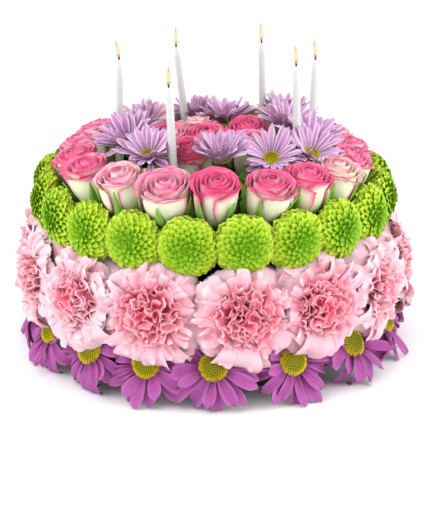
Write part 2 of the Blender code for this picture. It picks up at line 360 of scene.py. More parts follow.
@dataclass(frozen=True)
class PetalFace:
    """Where a point is on its petal: along it, across it, off its middle line, and on its back or front."""

    along: Number
    across: Number
    off_middle: Number
    back: Number

    @classmethod
    def of(cls, graph: Graph) -> "PetalFace":
        """Reads the petal's own map, whose back lies two units beside its front.

        Args:
            graph: the material's graph.

        Returns:
            The place.
        """
        side, along, _ = graph.split(graph.get("ShaderNodeUVMap", {"uv_map": "petal"}))
        back = side > 1.5
        across = side - back * 2
        return cls(along, across, (across * 2 - 1).absolute(), back)

    def veins(self, graph: Graph, lines: float, waver: float) -> Number:
        """Returns the height, 0 to 1, of fine lines along the petal that stray by waver."""
        stray = graph.noise(160, 1) * waver
        return ((self.across * lines + stray) * (2 * math.pi)).sine() * 0.5 + 0.5


@dataclass(frozen=True)
class CarnationFinish(Finish):
    """Ruffled petals, deep pink at their base and pale at the toothed edge, the outer ones nearly white
    there; painted shade deepens the pink in the ruffles' valleys and painted light makes their crests paler.
    """

    name: str = "carnation_pink"
    depth: float = 0.4
    deep: Colour = tint(239, 114, 136)
    middle: Colour = tint(232, 142, 161)
    outer: Colour = tint(233, 184, 196)
    edge: Colour = tint(240, 210, 216)

    def paint(self, graph: Graph) -> Painting:
        """Returns the colour from the petals' base to their edge, and their veins.

        Args:
            graph: the material's graph.

        Returns:
            What feeds each socket.
        """
        face = PetalFace.of(graph)
        layer, chance, crest = graph.mark("layer"), graph.mark("chance"), graph.mark("crest")
        mottle = graph.noise(90, 3)
        # painted light and shade: the ruffles' crests are painted paler and their valleys deeper pink, over
        # the petal's own deeper base
        tipward_and_painted_crest_light = face.along.rise(0.45, 0.95) * 0.75 + crest.rise(0.2, 0.8) * 0.25
        colour = graph.blend(tipward_and_painted_crest_light, self.deep, self.middle)
        colour = graph.blend(layer.rise(0.35, 1.0) * 0.9, colour, self.outer)
        # the crests' painted light also reaches a little way into the pale edge
        edge = (face.along + mottle * 0.05 + crest * 0.05).rise(0.88, 1.06)
        colour = graph.blend(edge * (layer * 0.50 + 0.35), colour, self.edge)
        veins = face.veins(graph, 16, 0.8)
        shade = veins * 0.06 + chance * 0.12 + mottle * 0.12 - 0.16
        colour = graph.blend(shade.absolute(), colour, graph.blend(shade > 0, self.deep, self.edge))
        return {"Base Color": colour, "Height": veins}


@dataclass(frozen=True)
class RoseFinish(Finish):
    """Cream outer petals with a hot pink margin, pink on their inner faces and towards the heart."""

    name: str = "rose_petal"
    roughness: float = 0.5
    depth: float = 0.5
    bump: float = 0.25
    cream: Colour = tint(232, 226, 198)
    green: Colour = tint(196, 208, 140)
    line: Colour = tint(208, 58, 106)
    hot: Colour = tint(226, 78, 130)
    pink: Colour = tint(238, 144, 178)
    pale: Colour = tint(246, 206, 218)

    def paint(self, graph: Graph) -> Painting:
        """Returns the colour of the petals' two faces, and their veins.

        Args:
            graph: the material's graph.

        Returns:
            What feeds each socket.
        """
        face = PetalFace.of(graph)
        layer, warmth = graph.mark("layer"), graph.mark("chance")
        mottle = graph.noise(110, 3) - 0.5
        flush = face.along + warmth * 0.42 + mottle * 0.10
        light = graph.blend(warmth.rise(0.05, 0.38), self.cream, self.pale)
        inside = graph.blend(flush.rise(0.70, 1.25), light, self.pink)
        inside = graph.blend(flush.rise(0.98, 1.30), inside, self.hot)
        body = graph.blend(face.along.rise(0.05, 0.55), self.green, self.cream)
        body = graph.blend((flush - 0.2).rise(0.66, 1.05) * 0.55, body, self.pink)
        outside = graph.blend((1 - layer).rise(0.20, 0.42), body, inside)
        colour = graph.blend(face.back, inside, outside)
        reach = mottle * 0.22 + (warmth - 0.5) * 0.30
        top_band = (face.along + reach).rise(0.60, 0.92)
        side_band = (face.off_middle + reach * 0.6).rise(0.74, 1.02) * face.along.rise(0.20, 0.60)
        band = graph.maths("MAXIMUM", top_band, side_band) * (face.back * 0.55 + 0.30)
        colour = graph.blend(band, colour, self.hot)
        top_line = (face.along + mottle * 0.05 + warmth * 0.05).rise(0.935, 0.995)
        side_line = (face.off_middle + mottle * 0.10).rise(0.91, 0.985) * face.along.rise(0.1, 0.4)
        colour = graph.blend(graph.maths("MAXIMUM", top_line, side_line) * 0.92, colour, self.line)
        veins = face.veins(graph, 14, 0.6)
        return {"Base Color": graph.blend(veins * 0.07, colour, self.pink), "Height": veins}


@dataclass(frozen=True)
class DaisyFinish(Finish):
    """Long petals with fine grooves, darker at the disc, and a paler back."""

    name: str = "purple_petal"
    roughness: float = 0.5
    depth: float = 0.15
    bump: float = 0.35
    relief: float = 0.0004
    middle: Colour = tint(150, 67, 138)
    base: Colour = tint(104, 26, 88)
    tip: Colour = tint(174, 100, 163)
    back: Colour = tint(198, 142, 186)
    streak: Colour = tint(124, 42, 110)
    margin: float = 0.1

    def paint(self, graph: Graph) -> Painting:
        """Returns the petals' colour and their grooves.

        Args:
            graph: the material's graph.

        Returns:
            What feeds each socket.
        """
        face = PetalFace.of(graph)
        chance = graph.mark("chance")
        veins = face.veins(graph, 6, 0.25)
        colour = graph.blend(face.along.rise(0.12, 0.50), self.base, self.middle)
        colour = graph.blend(face.along.rise(0.55, 1.0) * 0.6 + chance * 0.25, colour, self.tip)
        colour = graph.blend((1 - veins).rise(0.55, 1.0) * 0.4, colour, self.streak)
        colour = graph.blend(face.off_middle.rise(0.35, 0.95) * self.margin, colour, self.back)
        back = graph.blend(veins.rise(0.3, 0.9) * 0.8, self.middle, self.back)
        colour = graph.blend(face.back, colour, back)
        return {"Base Color": colour, "Height": veins}


@dataclass(frozen=True)
class FloretFinish(Finish):
    """Florets in a spiral: one colour at the middle of the head, one at its rim, pale at their tips, and
    painted shade at their feet.
    """

    name: str = "button_green"
    roughness: float = 0.5
    depth: float = 0.15
    heart: Colour = tint(102, 160, 4)
    rim: Colour = tint(168, 198, 16)
    tip: Colour = tint(212, 230, 96)
    # shade: painted shade where the florets' feet crowd together
    shade: Colour = tint(92, 148, 4)

    def paint(self, graph: Graph) -> Painting:
        """Returns the florets' colour from foot to tip, and a fine grain.

        Args:
            graph: the material's graph.

        Returns:
            What feeds each socket.
        """
        spread, along = graph.mark("spread"), graph.mark("along")
        chance = graph.mark("chance")
        grain = graph.noise(900, 2)
        colour = graph.blend(spread.rise(0.15, 0.75), self.heart, self.rim)
        # painted shade: the florets darken towards their feet, in the gaps between them, less so at the rim
        colour = graph.blend((1 - along).rise(0.20, 0.85) * (0.95 - spread * 0.72), colour, self.shade)
        colour = graph.blend((along + grain * 0.1).rise(0.76, 1.04) * (spread * 0.8 + 0.1), colour, self.tip)
        colour = graph.blend((chance * 0.5 + grain * 0.3) * 0.25, colour, self.rim)
        return {"Base Color": colour, "Height": grain}


@dataclass(frozen=True)
class LeafFinish(Finish):
    """Fresh green leaf, with a paler edge and a paler back."""

    name: str = "leaf_green"
    roughness: float = 0.5
    depth: float = 0.1
    middle: Colour = tint(92, 152, 38)
    edge: Colour = tint(142, 186, 70)
    back: Colour = tint(120, 166, 66)

    def paint(self, graph: Graph) -> Painting:
        """Returns the leaf's colour and its veins.

        Args:
            graph: the material's graph.

        Returns:
            What feeds each socket.
        """
        face = PetalFace.of(graph)
        chance = graph.mark("chance")
        veins = face.veins(graph, 5, 0.4)
        colour = graph.blend(face.off_middle.rise(0.5, 1.0) * 0.5 + chance * 0.25, self.middle, self.edge)
        colour = graph.blend(face.back * 0.6, colour, self.back)
        return {"Base Color": colour, "Height": veins}


@dataclass(frozen=True)
class FoamFinish(Finish):
    """Floral foam in a very dark green, partly its own green and partly painted shade for the gaps between
    flowers, with open cells.
    """

    name: str = "floral_foam"
    roughness: float = 0.9
    bump: float = 0.8
    relief: float = 0.0006
    light: Colour = tint(44, 66, 38)
    dark: Colour = tint(18, 30, 16)

    def paint(self, graph: Graph) -> Painting:
        """Returns the cells' colour and their depth.

        Args:
            graph: the material's graph.

        Returns:
            What feeds each socket.
        """
        cells = graph.noise(1400, 2)
        patches = graph.noise(60, 2)
        # painted shade: the colour follows the cells' relief, darker where the cells sink in, mixed with the
        # foam's own patchy tone
        colour = graph.blend((cells * 0.7 + patches * 0.5).rise(0.35, 0.85), self.dark, self.light)
        return {"Base Color": colour, "Height": cells}


@dataclass(frozen=True)
class WaxFinish(Finish):
    """White candle wax, faintly mottled, translucent where it is thin."""

    name: str = "candle_wax"
    roughness: float = 0.35
    depth: float = 0.5
    bump: float = 0.1
    shine: float = 0.5
    body: Colour = tint(196, 199, 196)
    haze: Colour = tint(188, 191, 189)

    def paint(self, graph: Graph) -> Painting:
        """Returns the wax's colour and its faint waviness.

        Args:
            graph: the material's graph.

        Returns:
            What feeds each socket.
        """
        haze = graph.noise(240, 2)
        return {"Base Color": graph.blend(haze, self.body, self.haze), "Height": haze}


@dataclass(frozen=True)
class WickFinish(Finish):
    """Burnt cotton: black, with twisted threads and an ember at its end."""

    name: str = "candle_wick"
    roughness: float = 0.9
    bump: float = 0.5
    relief: float = 0.0002
    char: Colour = tint(30, 24, 22)
    ash: Colour = tint(74, 62, 56)
    ember: Colour = tint(255, 110, 30)

    def paint(self, graph: Graph) -> Painting:
        """Returns the threads' colour and their relief.

        Args:
            graph: the material's graph.

        Returns:
            What feeds each socket.
        """
        threads = graph.noise(2600, 2)
        colour = graph.blend(threads.rise(0.45, 0.8), self.char, self.ash)
        glow = graph.blend(graph.mark("along").rise(0.82, 1.0), tint(0, 0, 0), self.ember)
        return {"Base Color": colour, "Height": threads, "Emission Color": glow, "Emission Strength": 1.2}


@dataclass(frozen=True)
class FlameFinish(Finish):
    """A candle flame: dull orange at its foot, cream in its body and orange towards its tip."""

    name: str = "candle_flame"
    shine: float = 0.0
    foot: Colour = tint(190, 130, 96)
    body: Colour = tint(255, 238, 200)
    top: Colour = tint(255, 206, 130)
    rim: Colour = tint(240, 160, 84)

    def paint(self, graph: Graph) -> Painting:
        """Colours the light that the flame gives out, over black.

        Args:
            graph: the material's graph.

        Returns:
            What feeds each socket.
        """
        along = graph.mark("along")
        colour = graph.blend(along.rise(0.0, 0.30), self.foot, self.body)
        colour = graph.blend(along.rise(0.55, 1.0), colour, self.top)
        lick = graph.noise(500, 1)
        colour = graph.blend((along + lick * 0.2).rise(0.75, 1.1) * 0.7, colour, self.rim)
        return {"Base Color": tint(0, 0, 0), "Emission Color": colour, "Emission Strength": 1.0}


@dataclass
class Head:
    """One flower head: where its middle is, where it faces and the ball of room that it takes."""

    name: str
    centre: np.ndarray
    axis: np.ndarray
    radius: float
    softness: float
    ring: str = ""
    number: int = 0
    planes: tuple[np.ndarray, np.ndarray] | None = None

    def axes(self) -> np.ndarray:
        """Works out the head's own three axes, as rows, the last the way it faces.

        Returns:
            The axes.
        """
        up = np.array((0.0, 0.0, 1.0)) if abs(self.axis[2]) < 0.9 else np.array((0.0, 1.0, 0.0))
        first = up - self.axis * up.dot(self.axis)
        first /= np.linalg.norm(first)
        return np.array((first, np.cross(self.axis, first), self.axis))

    def place(self, points: np.ndarray, give: float) -> np.ndarray:
        """Moves points from round the origin, facing +Z, to the head, and presses them into its room.

        Args:
            points: the points, in rows.
            give: how much of what reaches past a neighbour stays there.

        Returns:
            The placed points.
        """
        offsets = points.reshape(-1, 3) @ self.axes()
        if self.planes is not None and len(self.planes[1]):
            normals, limits = self.planes
            reach = offsets @ normals.T
            over = np.maximum(reach - limits, 0)
            share = np.where(over > 0, (limits + over * give) / np.maximum(reach, 1e-9), 1.0)
            offsets = offsets * share.min(axis=1, keepdims=True)
        placed = offsets + self.centre
        above = 0.0006 + 0.0006 * np.exp(np.minimum(placed[:, 2] - 0.0012, 0) * 200)
        placed[:, 2] = np.where(placed[:, 2] < 0.0012, above, placed[:, 2])
        return placed.reshape(points.shape)


@dataclass(frozen=True)
class Candle:
    """One candle: where it enters the foam, its whole height above the table, and its lean in x per metre."""

    x: float
    y: float
    height: float
    lean: float


@dataclass(frozen=True)
class Ring:
    """A ring of heads: the front ones stand at their azimuths, and even steps go on round the back."""

    kind: str
    front: tuple[float, ...]
    back: int
    radius: float
    height: float
    looks_up: float
    room: float
    softness: float
    fused: str = ""
    draws_in: float = 0.0
    sinks: float = 0.0

    def heads(self) -> list[Head]:
        """Sets out the ring, which draws in and sinks towards its sides and its back.

        Returns:
            The heads.
        """
        step = (360 - (self.front[-1] - self.front[0])) / (self.back + 1)
        azimuths = [*self.front, *(self.front[-1] + step * (i + 1) for i in range(self.back))]
        heads = []
        for i, azimuth in enumerate(azimuths):
            past = min(1 - math.cos(math.radians(azimuth)), 1.0)
            rise = self.height - self.sinks * past + 0.0010 * wobble(i, 2)
            centre = facing(azimuth, 0) * (self.radius - self.draws_in * past) + np.array((0, 0, rise))
            axis = facing(azimuth + 4 * wobble(i, 3), self.looks_up + 4 * wobble(i, 4))
            name = f"{self.kind}_{i + 1:02d}"
            heads.append(Head(name, centre, axis, self.room, self.softness, self.fused, i))
        return heads


@dataclass(frozen=True)
class Cluster:
    """Heads on top of the cake, each given by its x, its y, its lean and the azimuth that it leans to."""

    kind: str
    height: float
    softness: float
    places: tuple[tuple[float, float, float, float], ...]
    unevenness: float = 0.0
    room: float = 0.0185
    fall: float = 0.10

    def heads(self) -> list[Head]:
        """Sets out the cluster, which sinks towards the back.

        Returns:
            The heads.
        """
        heads = []
        for i, (x, y, lean, towards) in enumerate(self.places):
            rise = self.height - self.fall * max(y, 0) + self.unevenness * wobble(i, 8)
            centre, axis = np.array((x, y, rise)), facing(towards, 90 - lean)
            heads.append(Head(f"{self.kind}_{i + 1:02d}", centre, axis, self.room, self.softness, "", i))
        return heads


@dataclass
class Layout:
    """Where everything stands on the cake, as in the solids."""

    foam_radius: float = 0.095
    foam_height: float = 0.106
    socket_depth: float = 0.0197
    gap: float = 0.0003
    candle_radius: float = 0.0029
    candles: tuple[Candle, ...] = (
        Candle(-0.0632, 0.008, 0.1955, 0.010),
        Candle(-0.0161, 0.052, 0.1930, -0.112),
        Candle(-0.0240, -0.061, 0.1955, -0.046),
        Candle(0.0351, 0.055, 0.1952, -0.027),
        Candle(0.0551, -0.030, 0.2010, -0.024),
        Candle(0.0647, 0.009, 0.1952, 0.030),
    )
    groups: tuple[Union[Ring, Cluster], ...] = (
        Ring("lower_daisy", (-84, -62, -41, -20.5, 0, 24.5, 48, 71), 7, 0.1205, 0.0265, 26, 0.0145, 0.8),
        Ring("carnation", (-71, -45, -18.8, 9.3, 34, 60), 7, 0.1085, 0.061, 3, 0.0350, 1.0, sinks=0.0060),
        Ring(
            "button", (-62, -44.2, -26.5, -8.2, 10, 27.4, 45, 63.5), 12,
            0.1105, 0.1035, 2, 0.0195, 0.15, "button_ring",
        ),
        Ring(
            "rose", (-78, -58.5, -37, -18, 0.5, 20.5, 38, 54.5, 74), 9,
            0.0960, 0.1275, 73, 0.0185, 0.6, "rose_ring", 0.0085, 0.0065,
        ),
        Cluster("inner_rose", 0.1310, 0.6, (
            (-0.031, 0.001, 14, -30), (-0.004, -0.003, 12, 0), (0.023, 0.021, 12, 20),
            (-0.012, 0.027, 10, 200), (0.027, -0.016, 14, 40), (-0.015, -0.036, 14, -10),
            (-0.043, 0.048, 14, 230),
        )),
        Cluster("top_daisy", 0.1420, 1.0, (
            (-0.055, -0.017, 24, -40), (-0.041, -0.052, 22, -10), (0.005, -0.055, 8, 0),
            (0.037, -0.051, 30, 5), (0.063, -0.039, 28, 45), (0.064, -0.008, 16, 70),
            (0.050, 0.024, 20, 60), (0.048, 0.052, 14, 140), (0.008, 0.048, 10, 180),
            (-0.012, 0.062, 20, 190), (-0.047, 0.019, 16, 250),
        ), 0.0015),
    )
    heads: dict[str, list[Head]] = field(default_factory=dict)

    def __post_init__(self) -> None:
        """Sets out every head and works out the room it has."""
        self.heads = {group.kind: group.heads() for group in self.groups}
        every = [head for heads in self.heads.values() for head in heads]
        for head in every:
            head.planes = self._room(head, every)

    def _room(self, head: Head, every: list[Head]) -> tuple[np.ndarray, np.ndarray]:
        """Returns the planes that a head stays behind, as normals and distances from its middle.

        Args:
            head: the head.
            every: all heads.

        Returns:
            The normals, in rows, and the distances.
        """
        normals, limits = [], []
        for other in every:
            between = other.centre - head.centre
            distance = float(np.linalg.norm(between))
            if other is head or distance > head.radius + other.radius + 0.03:
                continue
            overlap = head.radius + other.radius - distance
            share = head.softness / (head.softness + other.softness) if overlap > 0 else 0.5
            limit = head.radius - overlap * share
            if head.ring and head.ring == other.ring:
                limit = distance / 2
            normals.append(between / distance)
            limits.append(limit)
        radius = math.hypot(head.centre[0], head.centre[1])
        if head.centre[2] < self.foam_height:
            normals.append(np.array((-head.centre[0], -head.centre[1], 0)) / radius)
            limits.append(radius - self.foam_radius - self.gap)
        else:
            normals.append(np.array((0.0, 0.0, -1.0)))
            limits.append(head.centre[2] - self.foam_height - self.gap)
            for candle in self.candles:
                foot, direction = self.candle_line(candle)
                away = foot - head.centre
                away = away - direction * away.dot(direction)
                length = float(np.linalg.norm(away))
                if length < head.radius + 0.03:
                    normals.append(away / length)
                    limits.append(length - self.candle_radius - self.gap)
        return np.array(normals), np.array(limits)

    def candle_line(self, candle: Candle) -> tuple[np.ndarray, np.ndarray]:
        """Works out where a candle's foot is in its socket, and its direction.

        Args:
            candle: the candle.

        Returns:
            The foot and the direction.
        """
        direction = np.array((candle.lean, 0.0, 1.0))
        direction /= np.linalg.norm(direction)
        return np.array((candle.x, candle.y, self.foam_height)) - direction * self.socket_depth, direction


def read(things: bpy.types.bpy_prop_collection, what: str, kind: type, count: int) -> np.ndarray:
    """Reads numbers from a mesh.

    Args:
        things: a mesh's vertices, edges, corners, faces or marks.
        what: which of their values.
        kind: the numbers' kind.
        count: how many numbers they are.

    Returns:
        The numbers.
    """
    values = np.empty(count, kind)
    things.foreach_get(what, values)
    return values


class Sheaf:
    """Gathers the faces of many petals and makes them one mesh."""

    def __init__(self) -> None:
        """Starts empty."""
        self.points: list[np.ndarray] = []
        self.corners: list[np.ndarray] = []
        self.sizes: list[np.ndarray] = []
        self.maps: list[np.ndarray] = []
        self.marks: dict[str, list[np.ndarray]] = {}
        self.count = 0

    def add(
        self, points: np.ndarray, corners: np.ndarray, sizes: np.ndarray,
        uv: np.ndarray | None = None, **marks: np.ndarray | float,
    ) -> None:
        """Adds faces.

        Args:
            points: their points, in rows.
            corners: the points of every face, one face after another.
            sizes: how many corners each face has.
            uv: the place of each corner on its petal.
            marks: numbers that each point carries, by name.
        """
        total = len(points)
        self.points.append(points)
        self.corners.append(corners + self.count)
        self.sizes.append(sizes)
        self.maps.append(np.zeros((len(corners), 2)) if uv is None else uv)
        for name, mark in marks.items():
            self.marks.setdefault(name, []).append(np.broadcast_to(np.asarray(mark, float), (total,)))
        self.count += total

    def add_sheets(self, grids: np.ndarray, thickness: float, **marks: np.ndarray) -> None:
        """Adds petals given by the middles of their sheets, each closed by a front and a back.

        Args:
            grids: points by petal, step along it and step across it.
            thickness: how thick a petal is inside its edge.
            marks: numbers that each petal, or each point of it, carries, by name.
        """
        petals, along, across = grids.shape[:3]
        normal = np.cross(np.gradient(grids, axis=1), np.gradient(grids, axis=2))
        normal /= np.maximum(np.linalg.norm(normal, axis=-1, keepdims=True), 1e-12)
        inside = np.zeros((along, across, 1))
        inside[1:-1, 1:-1] = thickness / 2
        front = (grids + normal * inside).reshape(petals, -1, 3)
        back = (grids - normal * inside)[:, 1:-1, 1:-1].reshape(petals, -1, 3)
        face, uv, total = sheet_faces(along, across)
        points = np.concatenate((front, back), axis=1).reshape(-1, 3)
        offsets = (np.arange(petals) * total)[:, None]
        corners = (face.reshape(1, -1) + offsets).reshape(-1)
        rim = np.zeros((petals, total))
        rim[:, : along * across] = (inside[..., 0] == 0).reshape(-1)
        spread = {"rim": rim.reshape(-1)}
        for name, mark in marks.items():
            if mark.ndim == 1:
                spread[name] = np.repeat(mark, total)
            else:
                both = (mark.reshape(petals, -1), mark[:, 1:-1, 1:-1].reshape(petals, -1))
                spread[name] = np.concatenate(both, axis=1).reshape(-1)
        self.add(points, corners, np.full(len(corners) // 4, 4), np.tile(uv, (petals, 1)), **spread)

    def build(self, name: str, material: bpy.types.Material, slot: str, *nodes: str) -> bpy.types.Object:
        """Makes the gathered faces one piece of the cake.

        Args:
            name: the piece's name.
            material: its finish.
            slot: the record's slot; not used.
            nodes: the solids that it stands for.

        Returns:
            The piece.
        """
        points = np.concatenate(self.points)
        corners, sizes = np.concatenate(self.corners), np.concatenate(self.sizes)
        mesh = bpy.data.meshes.new(name)
        mesh.vertices.add(len(points))
        mesh.vertices.foreach_set("co", points.astype(np.float32).reshape(-1))
        mesh.loops.add(len(corners))
        mesh.loops.foreach_set("vertex_index", corners.astype(np.int32))
        mesh.polygons.add(len(sizes))
        mesh.polygons.foreach_set("loop_start", (np.cumsum(sizes) - sizes).astype(np.int32))
        mesh.update(calc_edges=True)
        layer = mesh.uv_layers.new(name="petal")
        layer.data.foreach_set("uv", np.concatenate(self.maps).astype(np.float32).reshape(-1))
        for mark, values in self.marks.items():
            attribute = mesh.attributes.new(mark, "FLOAT", "POINT")
            attribute.data.foreach_set("value", np.concatenate(values).astype(np.float32))
        mesh.validate()
        mesh.materials.append(material)
        mesh.shade_smooth()
        if "rim" in self.marks:
            self._crease_rims(mesh)
        piece = stand(name, mesh)
        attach(piece, BODY)
        if nodes:
            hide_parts(*nodes)
        triangles = int((sizes - 2).sum())
        LOG.info("%s: %d triangles, stands for %s", name, triangles, ", ".join(nodes) or "nothing")
        return piece

    @staticmethod
    def _crease_rims(mesh: bpy.types.Mesh) -> None:
        """Makes the edges round every petal sharp, so that its front and back are lit each by itself.

        Args:
            mesh: the petals' mesh.
        """
        ends = read(mesh.edges, "vertices", np.int32, len(mesh.edges) * 2).reshape(-1, 2)
        rim = read(mesh.attributes["rim"].data, "value", np.float32, len(mesh.vertices))
        sharp = (rim[ends] > 0.5).all(axis=1)
        mesh.attributes.new("sharp_edge", "BOOLEAN", "EDGE").data.foreach_set("value", sharp)


def sheet_faces(along: int, across: int) -> tuple[np.ndarray, np.ndarray, int]:
    """Works out the faces of a closed sheet.

    Args:
        along: the number of points along it.
        across: the number of points across it.

    Returns:
        The corners of its four-sided faces, their places on the petal, and its number of points.
    """
    front = np.arange(along * across).reshape(along, across)
    back = front.copy()
    inner = (along - 2) * (across - 2)
    back[1:-1, 1:-1] = along * across + np.arange(inner).reshape(along - 2, across - 2)

    def quads(grid: np.ndarray) -> np.ndarray:
        """Returns the grid's cells as rows of four corners."""
        return np.stack((grid[:-1, :-1], grid[1:, :-1], grid[1:, 1:], grid[:-1, 1:]), axis=-1).reshape(-1, 4)

    u, v = np.meshgrid(np.linspace(0, 1, along), np.linspace(0, 1, across), indexing="ij")
    places = np.stack((v, u), axis=-1).reshape(-1, 2)
    cells = quads(front)
    behind = places[cells[:, ::-1].reshape(-1)] + np.array((2.0, 0.0))
    uv = np.concatenate((places[cells.reshape(-1)], behind))
    return np.concatenate((cells, quads(back)[:, ::-1])), uv, along * across + inner


def tube_faces(rings: int, sides: int) -> tuple[np.ndarray, np.ndarray]:
    """Works out the faces of a tube closed by a fan at each end.

    Args:
        rings: its rings of points, from the top down, which the top's and the base's own point follow.
        sides: the points of a ring.

    Returns:
        The faces' corners and their sizes.
    """
    here = np.arange(rings * sides).reshape(rings, sides)
    after = np.roll(here, -1, axis=1)
    walls = np.stack((here[:-1], here[1:], after[1:], after[:-1]), axis=-1).reshape(-1)
    top = np.stack((here[0], after[0], np.full(sides, rings * sides)), axis=-1).reshape(-1)
    base = np.stack((after[-1], here[-1], np.full(sides, rings * sides + 1)), axis=-1).reshape(-1)
    sizes = np.concatenate((np.full((rings - 1) * sides, 4), np.full(2 * sides, 3)))
    return np.concatenate((walls, top, base)), sizes


def ball_points(radius: float, rings: int, sides: int) -> np.ndarray:
    """Makes the points of a ball round the origin: its rings from the top down, then its two poles.

    Args:
        radius: its radius.
        rings: the rings between its poles.
        sides: the points of a ring.

    Returns:
        The points, in rows.
    """
    polar = np.pi * (np.arange(rings) + 1) / (rings + 1)
    turn = 2 * np.pi * np.arange(sides) / sides
    out, up = np.sin(polar)[:, None], np.broadcast_to(np.cos(polar)[:, None], (rings, sides))
    body = np.stack((out * np.cos(turn), out * np.sin(turn), up), axis=-1).reshape(-1, 3)
    return np.concatenate((body, ((0, 0, 1), (0, 0, -1)))) * radius


def each(values: np.ndarray) -> np.ndarray:
    """Returns one number for each petal, ready to meet the petals' points."""
    return values[:, None, None]


def flat_petal(along: int, across: int, ease: float = 1.0) -> tuple[np.ndarray, np.ndarray]:
    """Returns how far along a petal its points are, 0 to 1, and how far across it, -1 to 1."""
    return np.linspace(0, 1, along)[None, :, None] ** ease, np.linspace(-1, 1, across)[None, None, :]


def middle_lines(count: int, *profile: tuple[Reach, Reach]) -> np.ndarray:
    """Returns the petals' middle lines, given by how far out and how high each of their knots is."""
    return np.stack([np.stack((np.full(count, out), np.full(count, up)), -1) for out, up in profile], axis=1)


def curve_through(knots: np.ndarray, steps: np.ndarray) -> tuple[np.ndarray, np.ndarray]:
    """Follows smooth curves through knots.

    Args:
        knots: the knots, by curve, knot and coordinate.
        steps: how far along each curve its points are, 0 to 1, by curve and then any shape.

    Returns:
        The points and the directions there, with the coordinates last.
    """
    count = knots.shape[1]
    before, beyond = 2 * knots[:, :1] - knots[:, 1:2], 2 * knots[:, -1:] - knots[:, -2:-1]
    padded = np.concatenate((before, knots, beyond), axis=1)
    place = np.clip(steps, 0, 1) * (count - 1)
    start = np.minimum(place.astype(int), count - 2)
    t = (place - start)[..., None]
    which = np.arange(len(knots)).reshape((-1,) + (1,) * (steps.ndim - 1))
    a, b, c, d = (padded[which, start + k] for k in range(4))
    point = 0.5 * (2 * b + (c - a) * t + (2 * a - 5 * b + 4 * c - d) * t**2 + (3 * b - a - 3 * c + d) * t**3)
    way = 0.5 * ((c - a) + 2 * (2 * a - 5 * b + 4 * c - d) * t + 3 * (3 * b - a - 3 * c + d) * t**2)
    return point, way / np.maximum(np.linalg.norm(way, axis=-1, keepdims=True), 1e-12)


def bent_petals(
    knots: np.ndarray, azimuth: np.ndarray, steps: np.ndarray, sideways: np.ndarray, lift: np.ndarray
) -> np.ndarray:
    """Bends flat petals along their middle lines.

    Args:
        knots: each middle line's knots, as distance out from the flower's axis and height, by petal.
        azimuth: which way each petal points, in radians.
        steps: how far along its line each point is, by petal, step along and step across.
        sideways: how far to the side it is.
        lift: how far off the petal it is, towards the flower's heart.

    Returns:
        The points, by petal, step along and step across.
    """
    line, way = curve_through(knots, steps)
    out = line[..., 0] - way[..., 1] * lift
    height = line[..., 1] + way[..., 0] * lift
    turn = azimuth[:, None, None]
    x = out * np.cos(turn) - sideways * np.sin(turn)
    y = out * np.sin(turn) + sideways * np.cos(turn)
    return np.stack((x, y, height), axis=-1)


@dataclass(frozen=True)
class Whorl:
    """One ring of a carnation's petals: how many, where their tips are, how wide and how frilled."""

    count: int
    tip_angle: float
    reach: float
    half_width: float
    frill: float
    waves: float


